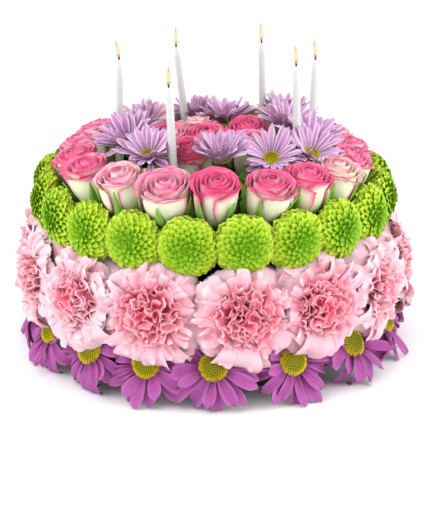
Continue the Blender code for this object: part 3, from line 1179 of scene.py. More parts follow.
@dataclass
class Carnation:
    """A carnation: whorls of fan-shaped, ruffled petals with toothed edges, tight at the heart."""

    head: Head
    foot: float = -0.011
    heart: float = 0.0182
    paleness: float = 0.0
    hang: float = 0.0055
    give: float = 0.75
    thickness: float = 0.00035
    steps_along: int = 11
    steps_across: int = 27
    first_seed: int = 100
    whorls: tuple[Whorl, ...] = (
        Whorl(6, 98, 0.0350, 0.0215, 0.0013, 1.3),
        Whorl(7, 83, 0.0340, 0.0200, 0.0021, 1.7),
        Whorl(8, 67, 0.0316, 0.0180, 0.0032, 2.1),
        Whorl(8, 52, 0.0286, 0.0170, 0.0036, 2.4),
        Whorl(8, 38, 0.0268, 0.0160, 0.0036, 2.5),
        Whorl(7, 25, 0.0258, 0.0145, 0.0036, 2.4),
        Whorl(5, 12, 0.0250, 0.0125, 0.0032, 2.2),
    )

    def grids(self) -> tuple[np.ndarray, dict[str, np.ndarray]]:
        """Shapes the petals round the origin.

        Returns:
            The petals' grids and the marks that they carry.
        """
        rng = np.random.default_rng(self.first_seed + self.head.number)
        rows = []
        for depth, whorl in enumerate(self.whorls):
            spin = rng.uniform(0, 2 * math.pi)
            outer = max(1 - depth / 3, 0.0)
            for k in range(whorl.count):
                turn = spin + 2 * math.pi * (k + rng.uniform(-0.25, 0.25)) / whorl.count
                down = max(-math.cos(turn), 0.0) ** 1.5
                angle = math.radians(whorl.tip_angle + rng.uniform(-7, 7) - 22 * down * outer)
                reach = whorl.reach * rng.uniform(0.93, 1.05) + self.hang * down * outer
                half = whorl.half_width * rng.uniform(0.85, 1.15)
                waves, layer = whorl.waves * rng.uniform(0.85, 1.2), 1 - depth / (len(self.whorls) - 1)
                rows.append((turn, angle, reach, half, whorl.frill, waves, layer))
        turn, angle, reach, half, frill, waves, layer = np.array(rows).T
        count = len(rows)
        bend = np.radians(3 + 21 * smooth(0.75, 1.45, angle)) * rng.uniform(0.6, 1.4, count)

        def on_dome(part: float, back: float, up: float = 0.0) -> tuple[np.ndarray, np.ndarray]:
            """Returns where each petal is at part of its reach, turned back towards the heart."""
            at = angle - bend * back
            return reach * part * np.sin(at), reach * part * np.cos(at) + up

        upper = on_dome(0.62, 1.15), on_dome(0.88, 0.75), on_dome(1.0, 0.0)
        knots = middle_lines(count, (0.002, self.foot), on_dome(0.22, 0.0, 0.0035), *upper)
        u, v = flat_petal(self.steps_along, self.steps_across, 0.85)
        wide = (count, 1, self.steps_across)
        teeth = np.where(np.arange(self.steps_across) % 2, 1.0, -1.0) * 0.009 * rng.uniform(0.3, 1.4, wide)
        steps = u * (1 - 0.15 * np.abs(v) ** 2.4) + (teeth + rng.uniform(-0.010, 0.010, wide) - 0.020) * u**7
        fan = 0.13 + 0.87 * smooth(0.12, 1.05, u)
        phase = rng.uniform(0, 2 * math.pi, (4, count, 1, 1))
        ripple = math.pi * each(waves) * v
        swing = ripple + phase[0] + 0.9 * np.sin(2.2 * v + phase[3]) + 0.8 * u
        first = np.sin(swing)
        second = np.sin(1.7 * ripple + phase[1] - 0.7 * u)
        third = np.sin(3.4 * ripple + phase[2])
        growth = smooth(0.30, 1.0, u) * (0.25 + 0.75 * u**2.5)
        wave = first + 0.32 * second * u + 0.07 * third * u**4
        fold = each(rng.uniform(-0.25, 0.55, count)) * (1 - 0.6 * each(layer))
        lift = each(frill) * wave * growth + fold * each(half) * (v**2 - 0.3) * growth
        stray = each(frill) * growth * (0.20 * np.cos(swing) - 0.38 * np.sin(2 * swing))
        sideways = each(half) * fan * v * (1 - 0.12 * v**2) + stray
        grids = bent_petals(knots, turn, np.clip(steps, 0, 1), sideways, lift)
        marks = {
            "layer": np.clip(layer + self.paleness, 0, 1),
            "chance": rng.uniform(0, 1, count),
            # crest: the ruffles' height, which the finish uses to paint light on the crests and shade in the
            # valleys
            "crest": np.clip(0.5 + 0.32 * wave * growth * np.ones_like(steps), 0, 1),
        }
        return grids, marks

    def build(self, material: bpy.types.Material) -> bpy.types.Object:
        """Builds the flower in its place on the cake.

        Args:
            material: the petals' finish.

        Returns:
            The piece.
        """
        grids, marks = self.grids()
        sheaf = Sheaf()
        sheaf.add_sheets(self.head.place(grids, self.give), self.thickness, **marks)
        rings, sides = 9, 18
        heart = self.head.place(ball_points(self.heart, rings, sides), self.give)
        corners, sizes = tube_faces(rings, sides)
        inside = np.tile((0.5, 0.74), (len(corners), 1))
        sheaf.add(heart, corners, sizes, inside, layer=0.2, chance=0.5, crest=0.5, rim=0.0)
        return sheaf.build(f"{self.head.name}_petals", material, "carnation_pink", self.head.name)


@dataclass
class Rose:
    """A half open spray rose: a furled heart in wrapped petals, the outer ones turned out at the lip."""

    head: Head
    seed: int
    warmth: float = 0.5
    fullness: float = 1.0
    petals: int = 16
    sepals: int = 5
    heart_radius: float = 0.0020
    bloom_radius: float = 0.0152
    foot: float = -0.0195
    lip: float = 0.0178
    fall: float = 0.0042
    give: float = 0.6
    thickness: float = 0.00035
    steps_along: int = 13
    steps_across: int = 15
    first_seed: int = 400
    first_sepal_seed: int = 700
    sepal_thickness: float = 0.0004
    sepal_steps: tuple[int, int] = (10, 5)

    def add_to(self, sheaf: Sheaf) -> None:
        """Adds the rose's petals to a sheaf.

        Args:
            sheaf: where they go.
        """
        rng = np.random.default_rng(self.first_seed + self.seed)
        count = self.petals
        t = np.arange(count) / (count - 1)
        turn = np.arange(count) * GOLDEN_TURN + rng.uniform(0, 2 * math.pi) + rng.uniform(-0.35, 0.35, count)
        bloom = self.bloom_radius * self.fullness
        ring = self.heart_radius + (bloom - self.heart_radius) * t**0.78
        top = self.lip - self.fall * t**1.5 + rng.uniform(-0.0009, 0.0007, count)
        roll = (smooth(0.05, 1.0, t) * 1.5 - 0.5) * rng.uniform(0.75, 1.25, count)
        down = np.maximum(roll, 0)
        knots = middle_lines(
            count,
            (0.0016, self.foot),
            (ring * 0.46 + 0.0012, self.foot + 0.0040),
            (ring * 0.78 + 0.0005, self.foot * 0.46),
            (ring * 0.94, self.foot * 0.10),
            (ring, top - 0.0085),
            (ring, top - 0.0045),
            (ring * 0.99 + roll * 0.0007, top - 0.0018),
            (ring * 0.97 + roll * 0.0020, top - down * 0.0003),
            (ring * 0.96 + roll * 0.0030, top - down * 0.0014),
        )
        knots[..., 0] = np.maximum(knots[..., 0], 0.0007)
        u, v = flat_petal(self.steps_along, self.steps_across, 0.80)
        outer = each(t)
        phase = rng.uniform(0, 2 * math.pi, (3, count, 1, 1))
        notch = 0.010 * np.sin(5.3 * math.pi * v + phase[2]) + 0.016 * np.sin(3.1 * math.pi * v + phase[1])
        shoulder = 0.10 * np.abs(v) ** 1.5 + 0.18 * np.abs(v) ** 4
        steps = u * (1 - shoulder * (0.4 + 0.6 * outer)) + (notch - 0.024) * u**8
        line, way = curve_through(knots, np.clip(steps, 0, 1))
        wave = np.sin(1.6 * math.pi * v + phase[0]) * 0.6 + np.sin(3.3 * math.pi * v + phase[1]) * 0.4
        lift = -0.0010 * wave * smooth(0.55, 1.0, u) * (0.25 + 0.9 * outer)
        curl = np.abs(v) ** 1.5 * smooth(0.78, 1.0, u) * outer * 0.0016
        spiral = 0.0008 * v * (0.4 + outer) * smooth(0.1, 0.5, u)
        lean = each(rng.uniform(-0.0008, 0.0008, count)) * u
        out = line[..., 0] - way[..., 1] * lift + spiral + curl + lean
        height = line[..., 1] + way[..., 0] * lift - curl * 0.6
        half = np.radians(118 - 58 * t**0.55) * rng.uniform(0.92, 1.08, count)
        breadth = 0.30 + 0.70 * smooth(0.0, 0.60, u)
        angle = each(turn) + each(half) * v * breadth
        squash, skew_x, skew_y = rng.uniform(-0.06, 0.06, 3)
        x = np.maximum(out, 0.0004) * np.cos(angle) * (1 + squash) + height * skew_x
        y = np.maximum(out, 0.0004) * np.sin(angle) * (1 - squash) + height * skew_y
        warmth = np.clip(self.warmth + rng.uniform(-0.12, 0.12, count), 0, 1)
        placed = self.head.place(np.stack((x, y, height), axis=-1), self.give)
        sheaf.add_sheets(placed, self.thickness, layer=t, chance=warmth)

    def add_sepals_to(self, sheaf: Sheaf) -> None:
        """Adds the five long green sepals that clasp the rose.

        Args:
            sheaf: where they go.
        """
        rng = np.random.default_rng(self.first_sepal_seed + self.seed)
        count = self.sepals
        turn = 2 * math.pi * (np.arange(count) + rng.uniform(-0.15, 0.15, count)) / count + rng.uniform(0, 6)
        length = rng.uniform(0.75, 1.25, count)
        flare = rng.uniform(-0.0003, 0.0045, count)
        body = self.bloom_radius * self.fullness
        knots = middle_lines(
            count,
            (0.0020, self.foot - 0.0010),
            (body * 0.46 + 0.0022, self.foot + 0.0036),
            (body * 0.80 + 0.0018, self.foot * 0.46),
            (body * 0.97 + 0.0012, self.foot * 0.05),
            (body + 0.0014 + flare, self.foot * 0.05 + 0.0120 * length),
        )
        u, v = flat_petal(*self.sepal_steps)
        steps = np.broadcast_to(u, (count, u.size, v.size))
        outline = np.sin(math.pi * np.clip(0.20 + 0.80 * u**0.72, 0, 1)) ** 1.15 * 0.0048 + 0.00025
        sideways = np.broadcast_to(outline * v, steps.shape)
        lift = np.broadcast_to(0.0010 * v**2 + 0.0004 * np.sin(9 * u), steps.shape)
        placed = self.head.place(bent_petals(knots, turn, steps, sideways, lift), self.give)
        chance = rng.uniform(0, 1, count)
        sheaf.add_sheets(placed, self.sepal_thickness, layer=np.zeros(count), chance=chance)


@dataclass
class Daisy:
    """A daisy's petals: rows of long blades round the disc, the inner rows more upright."""

    head: Head
    seed: int
    disc: float
    length: float
    half_width: float
    petals: int
    openness: float
    droop: float
    rows: int = 2
    row_rise: float = 13.0
    lift: float = 0.0
    thickness: float = 0.0004
    give: float = 0.45
    steps_along: int = 10
    steps_across: int = 7
    first_seed: int = 1000

    @classmethod
    def at_foot(cls, head: Head) -> "Daisy":
        """Returns a purple daisy for the foot, wide open, its petals drooping.

        Args:
            head: its place.

        Returns:
            The daisy.
        """
        openness = 84 + 8 * wobble(head.number, 61)
        return cls(
            head, seed=head.number, disc=0.0098, length=0.0258, half_width=0.0042, petals=24,
            openness=openness, droop=0.75,
        )

    @classmethod
    def on_top(cls, head: Head) -> "Daisy":
        """Returns a lilac daisy for the top, where one is half shut and two are wide open and full.

        Args:
            head: its place.

        Returns:
            The daisy.
        """
        i = head.number
        half_width, petals = (0.0019, 54) if i in (3, 4) else (0.0027, 36)
        openness, row_rise = {2: (46, 12), 3: (82, 15), 4: (82, 15)}.get(i, (66 + 8 * wobble(i, 62), 17))
        return cls(
            head, seed=40 + i, disc=0.0056, length=0.0226, half_width=half_width, petals=petals,
            openness=openness, droop=0.18, rows=3, row_rise=row_rise, lift=0.001,
        )

    def add_to(self, sheaf: Sheaf) -> None:
        """Adds the daisy's petals to a sheaf.

        Args:
            sheaf: where they go.
        """
        rng = np.random.default_rng(self.first_seed + self.seed)
        count = self.petals
        row = np.arange(count) % self.rows
        turn = 2 * math.pi * (np.arange(count) + rng.uniform(-0.55, 0.55, count)) / count + rng.uniform(0, 6)
        raised = np.radians(90 - self.openness + row * self.row_rise + rng.uniform(-9, 9, count))
        length = self.length * rng.uniform(0.82, 1.10, count) * (1 - 0.08 * row)
        bend = rng.uniform(-0.2, 1.3, count) * self.droop
        start = self.disc * 0.62
        profile = [(start, self.lift - 0.0012)]
        for share in (0.25, 0.5, 0.75, 1.0):
            angle = raised - bend * share**1.6
            out = start + length * share * np.cos(angle)
            profile.append((out, self.lift - 0.0010 + row * 0.0009 * share + length * share * np.sin(angle)))
        knots = middle_lines(count, *profile)
        u, v = flat_petal(self.steps_along, self.steps_across)
        notch = 0.02 * np.cos(2.5 * math.pi * v) * u**8
        outline = np.clip(u * (1 - 0.05 * v**2) + notch - 0.02 * u**8, 0, 1)
        steps = np.broadcast_to(outline, (count, u.size, v.size))
        body = 0.40 + 0.60 * smooth(0.0, 0.62, u)
        tip = np.sqrt(np.clip(1 - np.clip((u - 0.66) / 0.355, 0, 1) ** 2.2, 0.02, 1))
        half = self.half_width * each(rng.uniform(0.82, 1.15, count))
        sideways = half * body * tip * v + 0.0022 * each(rng.uniform(-1, 1, count)) * u**2
        groove = 0.00030 * np.cos(3 * math.pi * v) * smooth(0.05, 0.3, u)
        cup = half * v**2 * each(rng.uniform(-0.1, 0.75, count))
        twist = v * half * u * each(rng.uniform(-0.45, 0.45, count))
        grids = bent_petals(knots, turn, steps, sideways, groove + cup + twist)
        placed = self.head.place(grids, self.give)
        sheaf.add_sheets(placed, self.thickness, layer=1 - row / self.rows, chance=rng.uniform(0, 1, count))


class Floret(Enum):
    """What stands at each point of a spiral of florets."""

    SCOOP = "scoop"
    BUD = "bud"


@dataclass(frozen=True)
class Spiral:
    """A head of florets set out in a golden spiral over a dome, made by Geometry Nodes."""

    name: str
    floret: Floret
    count: int
    radius: float
    rise: float
    reach_round: float
    crowding: float
    root: float
    width_heart: float
    width_rim: float
    core: float = 0.80

    def tree(self, material: bpy.types.Material) -> bpy.types.NodeTree:
        """Builds the node tree.

        Args:
            material: the florets' finish.

        Returns:
            The tree.
        """
        tree = bpy.data.node_groups.new(self.name, "GeometryNodeTree")
        for label, kind in (("Florets", "Int"), ("Radius", "Float"), ("Rise", "Float"), ("Seed", "Int")):
            tree.interface.new_socket(label, in_out="INPUT", socket_type=f"NodeSocket{kind}")
        tree.interface.new_socket("Geometry", in_out="OUTPUT", socket_type="NodeSocketGeometry")
        graph = Graph(tree)
        given = graph.add("NodeGroupInput").outputs
        index = Number(graph, graph.get("GeometryNodeInputIndex"))
        share = (index + 0.5) / Number(graph, given["Florets"])
        polar = share**self.crowding * self.reach_round
        turn = index * GOLDEN_TURN
        out = polar.sine()
        direction = graph.xyz(out * turn.cosine(), out * turn.sine(), polar.cosine())
        size = graph.xyz(given["Radius"], given["Radius"], given["Rise"])
        surface = graph.get("ShaderNodeVectorMath", {"operation": "MULTIPLY"}, {0: direction, 1: size})
        root = graph.get("ShaderNodeVectorMath", {"operation": "SCALE"}, {0: surface, "Scale": self.root})
        points = graph.get("GeometryNodePoints", None, {"Count": given["Florets"], "Position": root})
        points = graph.stored(points, "spread", share**self.crowding)
        length = graph.add("ShaderNodeVectorMath", {"operation": "LENGTH"}, {0: surface}).outputs["Value"]
        align, outward = "FunctionNodeAlignRotationToVector", graph.xyz(turn.cosine(), turn.sine(), 0.0)
        upright = graph.get(align, {"axis": "Z"}, {"Vector": surface})
        turned = graph.get(align, {"axis": "Y", "pivot_axis": "Z"}, {"Rotation": upright, "Vector": outward})
        most = (0.13, 0.10, 0.22)
        spread = {"Min": tuple(-angle for angle in most), "Max": most, "Seed": given["Seed"]}
        jitter = graph.get("FunctionNodeRandomValue", {"data_type": "FLOAT_VECTOR"}, spread)
        jitter = graph.get("FunctionNodeEulerToRotation", None, {0: jitter})
        tilted = graph.get("FunctionNodeRotateRotation", {"rotation_space": "LOCAL"}, {0: turned, 1: jitter})
        grow = {2: 0.9, 3: 1.1, "Seed": given["Seed"]}
        growth = graph.add("FunctionNodeRandomValue", {"data_type": "FLOAT"}, grow).outputs[1]
        growth = Number(graph, growth)
        width = (share**self.crowding * (self.width_rim - self.width_heart) + self.width_heart) * growth
        scale = graph.xyz(width, width, Number(graph, length) * (1 - self.root) * growth)
        shape = self._scoop(graph) if self.floret is Floret.SCOOP else self._bud(graph)
        sockets = {"Points": points, "Instance": shape, "Rotation": tilted, "Scale": scale}
        florets = graph.get("GeometryNodeInstanceOnPoints", None, sockets)
        # the core ball carries no marks, so the finish gives it the florets' painted shade colour
        ball = graph.get("GeometryNodeMeshUVSphere", None, {"Segments": 24, "Rings": 12, "Radius": self.core})
        core = graph.get("GeometryNodeTransform", None, {"Geometry": ball, "Scale": size})
        real = graph.get("GeometryNodeRealizeInstances", None, {0: graph.joined(florets, core)})
        eased = graph.get("GeometryNodeSetShadeSmooth", None, {"Geometry": real})
        dressed = graph.get("GeometryNodeSetMaterial", None, {"Geometry": eased, "Material": material})
        graph.add("NodeGroupOutput", None, {0: dressed})
        return tree

    @staticmethod
    def _scoop(graph: Graph) -> bpy.types.NodeSocket:
        """Shapes one spoon-shaped floret, 1 tall and 1 wide, its hollow towards -Y.

        Args:
            graph: the tree's graph.

        Returns:
            The floret's geometry.
        """
        sheets = []
        for back in (0.0, 1.0):
            counts = {"Size X": 1.0, "Size Y": 1.0, "Vertices X": 3, "Vertices Y": 5}
            grid = graph.get("GeometryNodeMeshGrid", None, counts)
            across, along, _ = graph.place()
            off_middle = along.absolute()
            along = along + 0.5
            wide = (along * 1.9).sine() * 0.62 + 0.38
            inside = (1 - (across * 2).absolute().rise(0.9, 1.0)) * (1 - (off_middle * 2).rise(0.9, 1.0))
            hollow = across * across * 1.5 - along**3 * 0.55
            depth = hollow * -1 + inside * (back * 0.16 - 0.02)
            shaped = graph.xyz(across * wide, depth, along - across * across * along * 0.5)
            rimmed = graph.stored(grid, "rim", graph.maths("MAXIMUM", across.absolute(), off_middle) > 0.49)
            moved = graph.get("GeometryNodeSetPosition", None, {"Geometry": rimmed, "Position": shaped})
            sheets.append(graph.stored(moved, "along", graph.place()[2]))
        both = graph.joined(graph.get("GeometryNodeFlipFaces", None, {0: sheets[0]}), sheets[1])
        return graph.get("GeometryNodeMergeByDistance", None, {"Geometry": both, "Distance": 0.001})

    @staticmethod
    def _bud(graph: Graph) -> bpy.types.NodeSocket:
        """Shapes one small closed bud, 1 tall and 1 wide.

        Args:
            graph: the tree's graph.

        Returns:
            The bud's geometry.
        """
        ball = graph.get("GeometryNodeMeshIcoSphere", None, {"Radius": 0.5, "Subdivisions": 1})
        raised = graph.get("GeometryNodeTransform", None, {"Geometry": ball, "Translation": (0.0, 0.0, 0.5)})
        return graph.stored(raised, "along", graph.place()[2])

    def shapes(self, material: bpy.types.Material, variants: int) -> list["Shape"]:
        """Makes the head a few times over with different seeds.

        Args:
            material: the florets' finish.
            variants: how many times.

        Returns:
            The heads' faces, round the origin and facing +Z.
        """
        tree = self.tree(material)
        made = []
        for seed in range(variants):
            holder = stand(self.name, bpy.data.meshes.new(self.name))
            modifier = holder.modifiers.new("florets", "NODES")
            modifier.node_group = tree
            values = {"Florets": self.count, "Radius": self.radius, "Rise": self.rise, "Seed": seed}
            for item in tree.interface.items_tree:
                if item.in_out == "INPUT":
                    modifier[item.identifier] = values[item.name]
            seen = holder.evaluated_get(bpy.context.evaluated_depsgraph_get())
            mesh = bpy.data.meshes.new_from_object(seen)
            made.append(Shape.of(mesh))
            bpy.data.objects.remove(holder)
            bpy.data.meshes.remove(mesh)
        return made


@dataclass
class Shape:
    """The faces of a made head, to be set in many places."""

    points: np.ndarray
    corners: np.ndarray
    sizes: np.ndarray
    marks: dict[str, np.ndarray]
    turn_step: float = 2.3

    @classmethod
    def of(cls, mesh: bpy.types.Mesh) -> "Shape":
        """Reads a mesh that carries marks.

        Args:
            mesh: the mesh.

        Returns:
            Its faces and marks.
        """
        count = len(mesh.vertices)
        points = read(mesh.vertices, "co", np.float32, count * 3)
        corners = read(mesh.loops, "vertex_index", np.int32, len(mesh.loops))
        sizes = read(mesh.polygons, "loop_total", np.int32, len(mesh.polygons))
        marks = {name: np.zeros(count, np.float32) for name in ("along", "spread", "rim")}
        for name in marks.keys() & mesh.attributes.keys():
            marks[name] = read(mesh.attributes[name].data, "value", np.float32, count)
        return cls(points.reshape(-1, 3).astype(float), corners, sizes, marks)

    def add_to(self, sheaf: Sheaf, head: Head, lift: float = 0.0, give: float = 1.0) -> None:
        """Sets the shape on a head, turned by the head's number.

        Args:
            sheaf: where its faces go.
            head: the head.
            lift: how far it stands out along the head's axis.
            give: how much of what reaches past a neighbour stays there.
        """
        turn = head.number * self.turn_step
        cos, sin = math.cos(turn), math.sin(turn)
        spun = self.points @ np.array(((cos, sin, 0), (-sin, cos, 0), (0, 0, 1))) + np.array((0, 0, lift))
        chance = 0.5 + 0.5 * wobble(head.number, 31)
        sheaf.add(head.place(spun, give), self.corners, self.sizes, None, chance=chance, **self.marks)


@dataclass
class Tapers:
    """The six candles: wax, wick and flame."""

    layout: Layout
    radius: float = 0.0030
    top_radius: float = 0.00245
    tip: float = 0.0085
    wick_radius: float = 0.00075
    wick_length: float = 0.0040
    flame_radius: float = 0.0017
    flame_height: float = 0.0125
    sides: int = 20

    def turn_into(
        self, sheaf: Sheaf, foot: np.ndarray, direction: np.ndarray,
        profile: Sequence[tuple[float, float]], bow: float = 0.0,
    ) -> None:
        """Turns a profile about a line, closes it by a fan at each end and adds it to a sheaf.

        Args:
            sheaf: where its faces go.
            foot: where the line starts.
            direction: its direction.
            profile: radius and height pairs, from the bottom up.
            bow: how far the top strays sideways.
        """
        first = np.array((0.0, 1.0, 0.0))
        first -= direction * first.dot(direction)
        first /= np.linalg.norm(first)
        second = np.cross(direction, first)
        turns = np.linspace(0, 2 * math.pi, self.sides, endpoint=False)[:, None]
        radii, heights = np.array(profile)[::-1, :, None].transpose(1, 0, 2)
        shares = (heights - heights[-1]) / (heights[0] - heights[-1])
        middles = foot + direction * heights + second * bow * shares**2
        spokes = first * np.cos(turns) + second * np.sin(turns)
        walls = (middles[:, None] + spokes * radii[:, None]).reshape(-1, 3)
        points = np.concatenate((walls, middles[:1], middles[-1:]))
        along = np.concatenate((np.repeat(shares, self.sides), (1.0, 0.0)))
        sheaf.add(points, *tube_faces(len(profile), self.sides), None, along=along)

    def wax_profile(self, number: int, length: float) -> list[tuple[float, float]]:
        """Shapes an uneven candle whose top is drawn to a cone.

        Args:
            number: which candle it is.
            length: its length without the wick.

        Returns:
            Radius and height pairs.
        """
        profile = [(self.radius * 0.96, 0.0), (self.radius, 0.0006)]
        for share in np.linspace(0.1, 1.0, 10):
            wave = 1 + 0.012 * wobble(int(share * 10), number + 40)
            radius = (self.radius + (self.top_radius - self.radius) * share) * wave
            profile.append((radius, (length - self.tip) * share))
        for share in (0.25, 0.5, 0.75, 0.92, 1.0):
            radius = self.top_radius * (1 - share**1.3) + self.wick_radius * 1.4 * share
            profile.append((radius, length - self.tip + self.tip * share))
        return profile

    def wick_profile(self) -> list[tuple[float, float]]:
        """Shapes a wick.

        Returns:
            Radius and height pairs.
        """
        shares = np.linspace(0, 1.25, 7)
        strand = [(self.wick_radius * (1 - 0.25 * s), self.wick_length * s - 0.001) for s in shares]
        return [*strand, (self.wick_radius * 0.35, self.wick_length * 1.02)]

    def flame_profile(self) -> list[tuple[float, float]]:
        """Shapes a flame, fullest below its middle.

        Returns:
            Radius and height pairs.
        """
        profile = []
        for share in np.linspace(0.02, 0.985, 14):
            swell = math.sin(math.pi * share**0.72) ** 0.85 * (1 - 0.35 * share)
            profile.append((self.flame_radius * max(swell, 0.04) * 1.12, self.flame_height * share))
        return profile

    def build(self, wax: bpy.types.Material, wick: bpy.types.Material, flame: bpy.types.Material) -> None:
        """Builds the candles.

        Args:
            wax: the candles' finish.
            wick: the wicks' finish.
            flame: the flames' finish.
        """
        flames, wicks = Sheaf(), Sheaf()
        for i, candle in enumerate(self.layout.candles):
            foot, direction = self.layout.candle_line(candle)
            length = (candle.height - foot[2]) / direction[2] - self.wick_length
            body = Sheaf()
            self.turn_into(body, foot, direction, self.wax_profile(i, length))
            body.build(f"candle_{i + 1}_wax", wax, "candle_wax", f"candle_{i + 1}")
            top = foot + direction * length
            self.turn_into(wicks, top, direction, self.wick_profile(), 0.0007 * wobble(i, 51))
            up = np.array((0.12 * wobble(i, 52), 0.0, 1.0))
            up /= np.linalg.norm(up)
            base = top + direction * 0.0012
            self.turn_into(flames, base, up, self.flame_profile(), 0.0006 * wobble(i, 53))
        wicks.build("candle_wicks", wick, "candle_wax")
        flames.build("candle_flames", flame, "candle_wax")


@dataclass
class Greens:
    """Short leaves pushed in between the flowers on top, where the foam would show."""

    layout: Layout
    leaves: int = 84
    spread: float = 0.084
    length: float = 0.034
    half_width: float = 0.0050

    def build(self, material: bpy.types.Material) -> None:
        """Builds the leaves as one piece of that finish.

        Args:
            material: the leaves' finish.
        """
        rng = np.random.default_rng(77)
        count = self.leaves
        ring = self.spread * np.sqrt((np.arange(count) + 0.5) / count)
        around = np.arange(count) * GOLDEN_TURN
        turn = rng.uniform(0, 2 * math.pi, count)
        length = self.length * rng.uniform(0.7, 1.15, count)
        lean = np.radians(rng.uniform(45, 80, count))
        profile = []
        for share in (0.0, 0.33, 0.66, 1.0):
            angle = lean * (1.15 - 0.5 * share)
            profile.append((0.001 + length * share * np.cos(angle), length * share * np.sin(angle)))
        knots = middle_lines(count, *profile)
        u, v = flat_petal(9, 5)
        outline = np.sin(math.pi * np.clip(0.08 + 0.92 * u**0.85, 0, 1)) ** 0.8 + 0.05
        half = self.half_width * each(rng.uniform(0.7, 1.1, count))
        steps = np.broadcast_to(u, (count, u.size, v.size))
        lift = np.broadcast_to(0.30 * half * np.abs(v), steps.shape)
        grids = bent_petals(knots, turn, steps, half * outline * v, lift)
        height = np.full(count, self.layout.foam_height)
        base = np.stack((ring * np.cos(around), ring * np.sin(around), height), -1)[:, None, None, :]
        sheaf = Sheaf()
        sheaf.add_sheets(grids + base, 0.0004, layer=np.zeros(count), chance=rng.uniform(0, 1, count))
        sheaf.build("top_leaves", material, "button_green")


@dataclass
class FoamBlock:
    """The block of floral foam, which keeps its own solid."""

    node: str = "foam_core"

    def dress(self, frame: dict[str, Any], finish: bpy.types.Material) -> None:
        """Gives the solid its finish.

        Args:
            frame: the loaded frame.
            finish: the foam's finish.
        """
        mesh = frame["nodes"][self.node].data
        mesh.materials.clear()
        mesh.materials.append(finish)
        LOG.info("%s keeps its solid", self.node)


@dataclass
class Studio:
    """The pale floor, soft studio light and the camera."""

    distance: float = 1.2608
    elevation: float = 20.61
    aim_height: float = 0.0551
    frame_height: int = 515
    focal_pixels: float = 1851.48
    sensor: float = 36.0
    floor_size: float = 8.0
    lamp_aim: float = 0.08
    even_light: float = 1.04

    def build(self) -> None:
        """Builds the floor, the lights and the camera."""
        self._floor()
        self._light("key", (-0.9, -1.5, 1.9), 1.6, 21.0)
        self._light("fill", (1.5, -1.2, 1.2), 1.8, 11.0)
        self._light("left_side", (-2.0, -0.5, 0.7), 1.4, 24.0)
        self._light("right_side", (2.0, -0.5, 0.7), 1.4, 27.0)
        self._world()
        self._camera()

    def _floor(self) -> None:
        """Lays a plain pale floor."""
        half = self.floor_size / 2
        mesh = bpy.data.meshes.new("floor")
        corners = [(-half, -half, 0), (half, -half, 0), (half, half, 0), (-half, half, 0)]
        mesh.from_pydata(corners, [], [(0, 1, 2, 3)])
        material = bpy.data.materials.new("pale_floor")
        material.use_nodes = True
        shader = material.node_tree.nodes["Principled BSDF"]
        shader.inputs["Base Color"].default_value = tint(244, 244, 244)
        shader.inputs["Roughness"].default_value = 0.6
        mesh.materials.append(material)
        stand("floor", mesh)

    def _light(self, name: str, place: tuple[float, float, float], size: float, power: float) -> None:
        """Hangs a soft square light that faces the cake.

        Args:
            name: the light's name.
            place: where it hangs.
            size: its side.
            power: its power in watts.
        """
        lamp = bpy.data.lights.new(name, "AREA")
        lamp.size, lamp.energy = size, power
        aim_from(name, lamp, Vector(place), Vector((0, 0, self.lamp_aim)))

    def _world(self) -> None:
        """Surrounds the scene with even white light."""
        world = bpy.data.worlds.new("studio")
        world.use_nodes = True
        background = world.node_tree.nodes["Background"]
        background.inputs["Color"].default_value = (1.0, 1.0, 1.0, 1.0)
        background.inputs["Strength"].default_value = self.even_light
        bpy.context.scene.world = world
        bpy.context.scene.view_settings.view_transform = "Standard"

    def _camera(self) -> None:
        """Sets up the camera at the picture's angle."""
        lens = bpy.data.cameras.new("camera")
        lens.lens = self.focal_pixels / self.frame_height * self.sensor
        lens.sensor_width = self.sensor
        lens.shift_x = -1 / self.frame_height
        lens.clip_start = 0.05
        rise, aim = math.radians(self.elevation), Vector((0, 0, self.aim_height))
        place = aim + Vector((0, -math.cos(rise), math.sin(rise))) * self.distance
        bpy.context.scene.camera = aim_from("camera", lens, place, aim)


@dataclass(frozen=True)
class RoseBed:
    """The ring of roses and those inside it, with how warm in colour and how full the front ones are."""

    warmth: tuple[float, ...] = (0.60, 0.70, 0.25, 0.40, 0.90, 0.70, 0.75, 0.15, 0.55)
    fullness: tuple[float, ...] = (1.0, 1.0, 1.02, 1.10, 0.94, 0.98, 1.0, 1.02, 1.0)
    inner_seeds: int = 50

    def bloom(self, seed: int) -> tuple[float, float]:
        """Picks how one rose looks.

        Args:
            seed: the rose's seed.

        Returns:
            The warmth and the fullness.
        """
        if seed < len(self.warmth):
            return self.warmth[seed], self.fullness[seed]
        usual, swing = (0.50, 0.45) if seed >= self.inner_seeds else (0.27, 0.27)
        return usual + swing * wobble(seed, 21), 1 + 0.05 * wobble(seed, 22)

    def build(self, layout: Layout, petals: bpy.types.Material, leaf: bpy.types.Material) -> None:
        """Builds the roses and all their sepals.

        Args:
            layout: where they stand.
            petals: the petals' finish.
            leaf: the sepals' finish.
        """
        sepals = Sheaf()
        inner = [head.name for head in layout.heads["inner_rose"]]
        ring = ("rose", 0, "rose_ring", ["rose_ring"])
        for kind, first_seed, name, nodes in (ring, ("inner_rose", self.inner_seeds, "inner_rose", inner)):
            sheaf = Sheaf()
            for seed, head in enumerate(layout.heads[kind], first_seed):
                rose = Rose(head, seed, *self.bloom(seed))
                rose.add_to(sheaf)
                rose.add_sepals_to(sepals)
            sheaf.build(f"{name}_petals", petals, "rose_petal", *nodes)
        sepals.build("rose_sepals", leaf, "button_green")


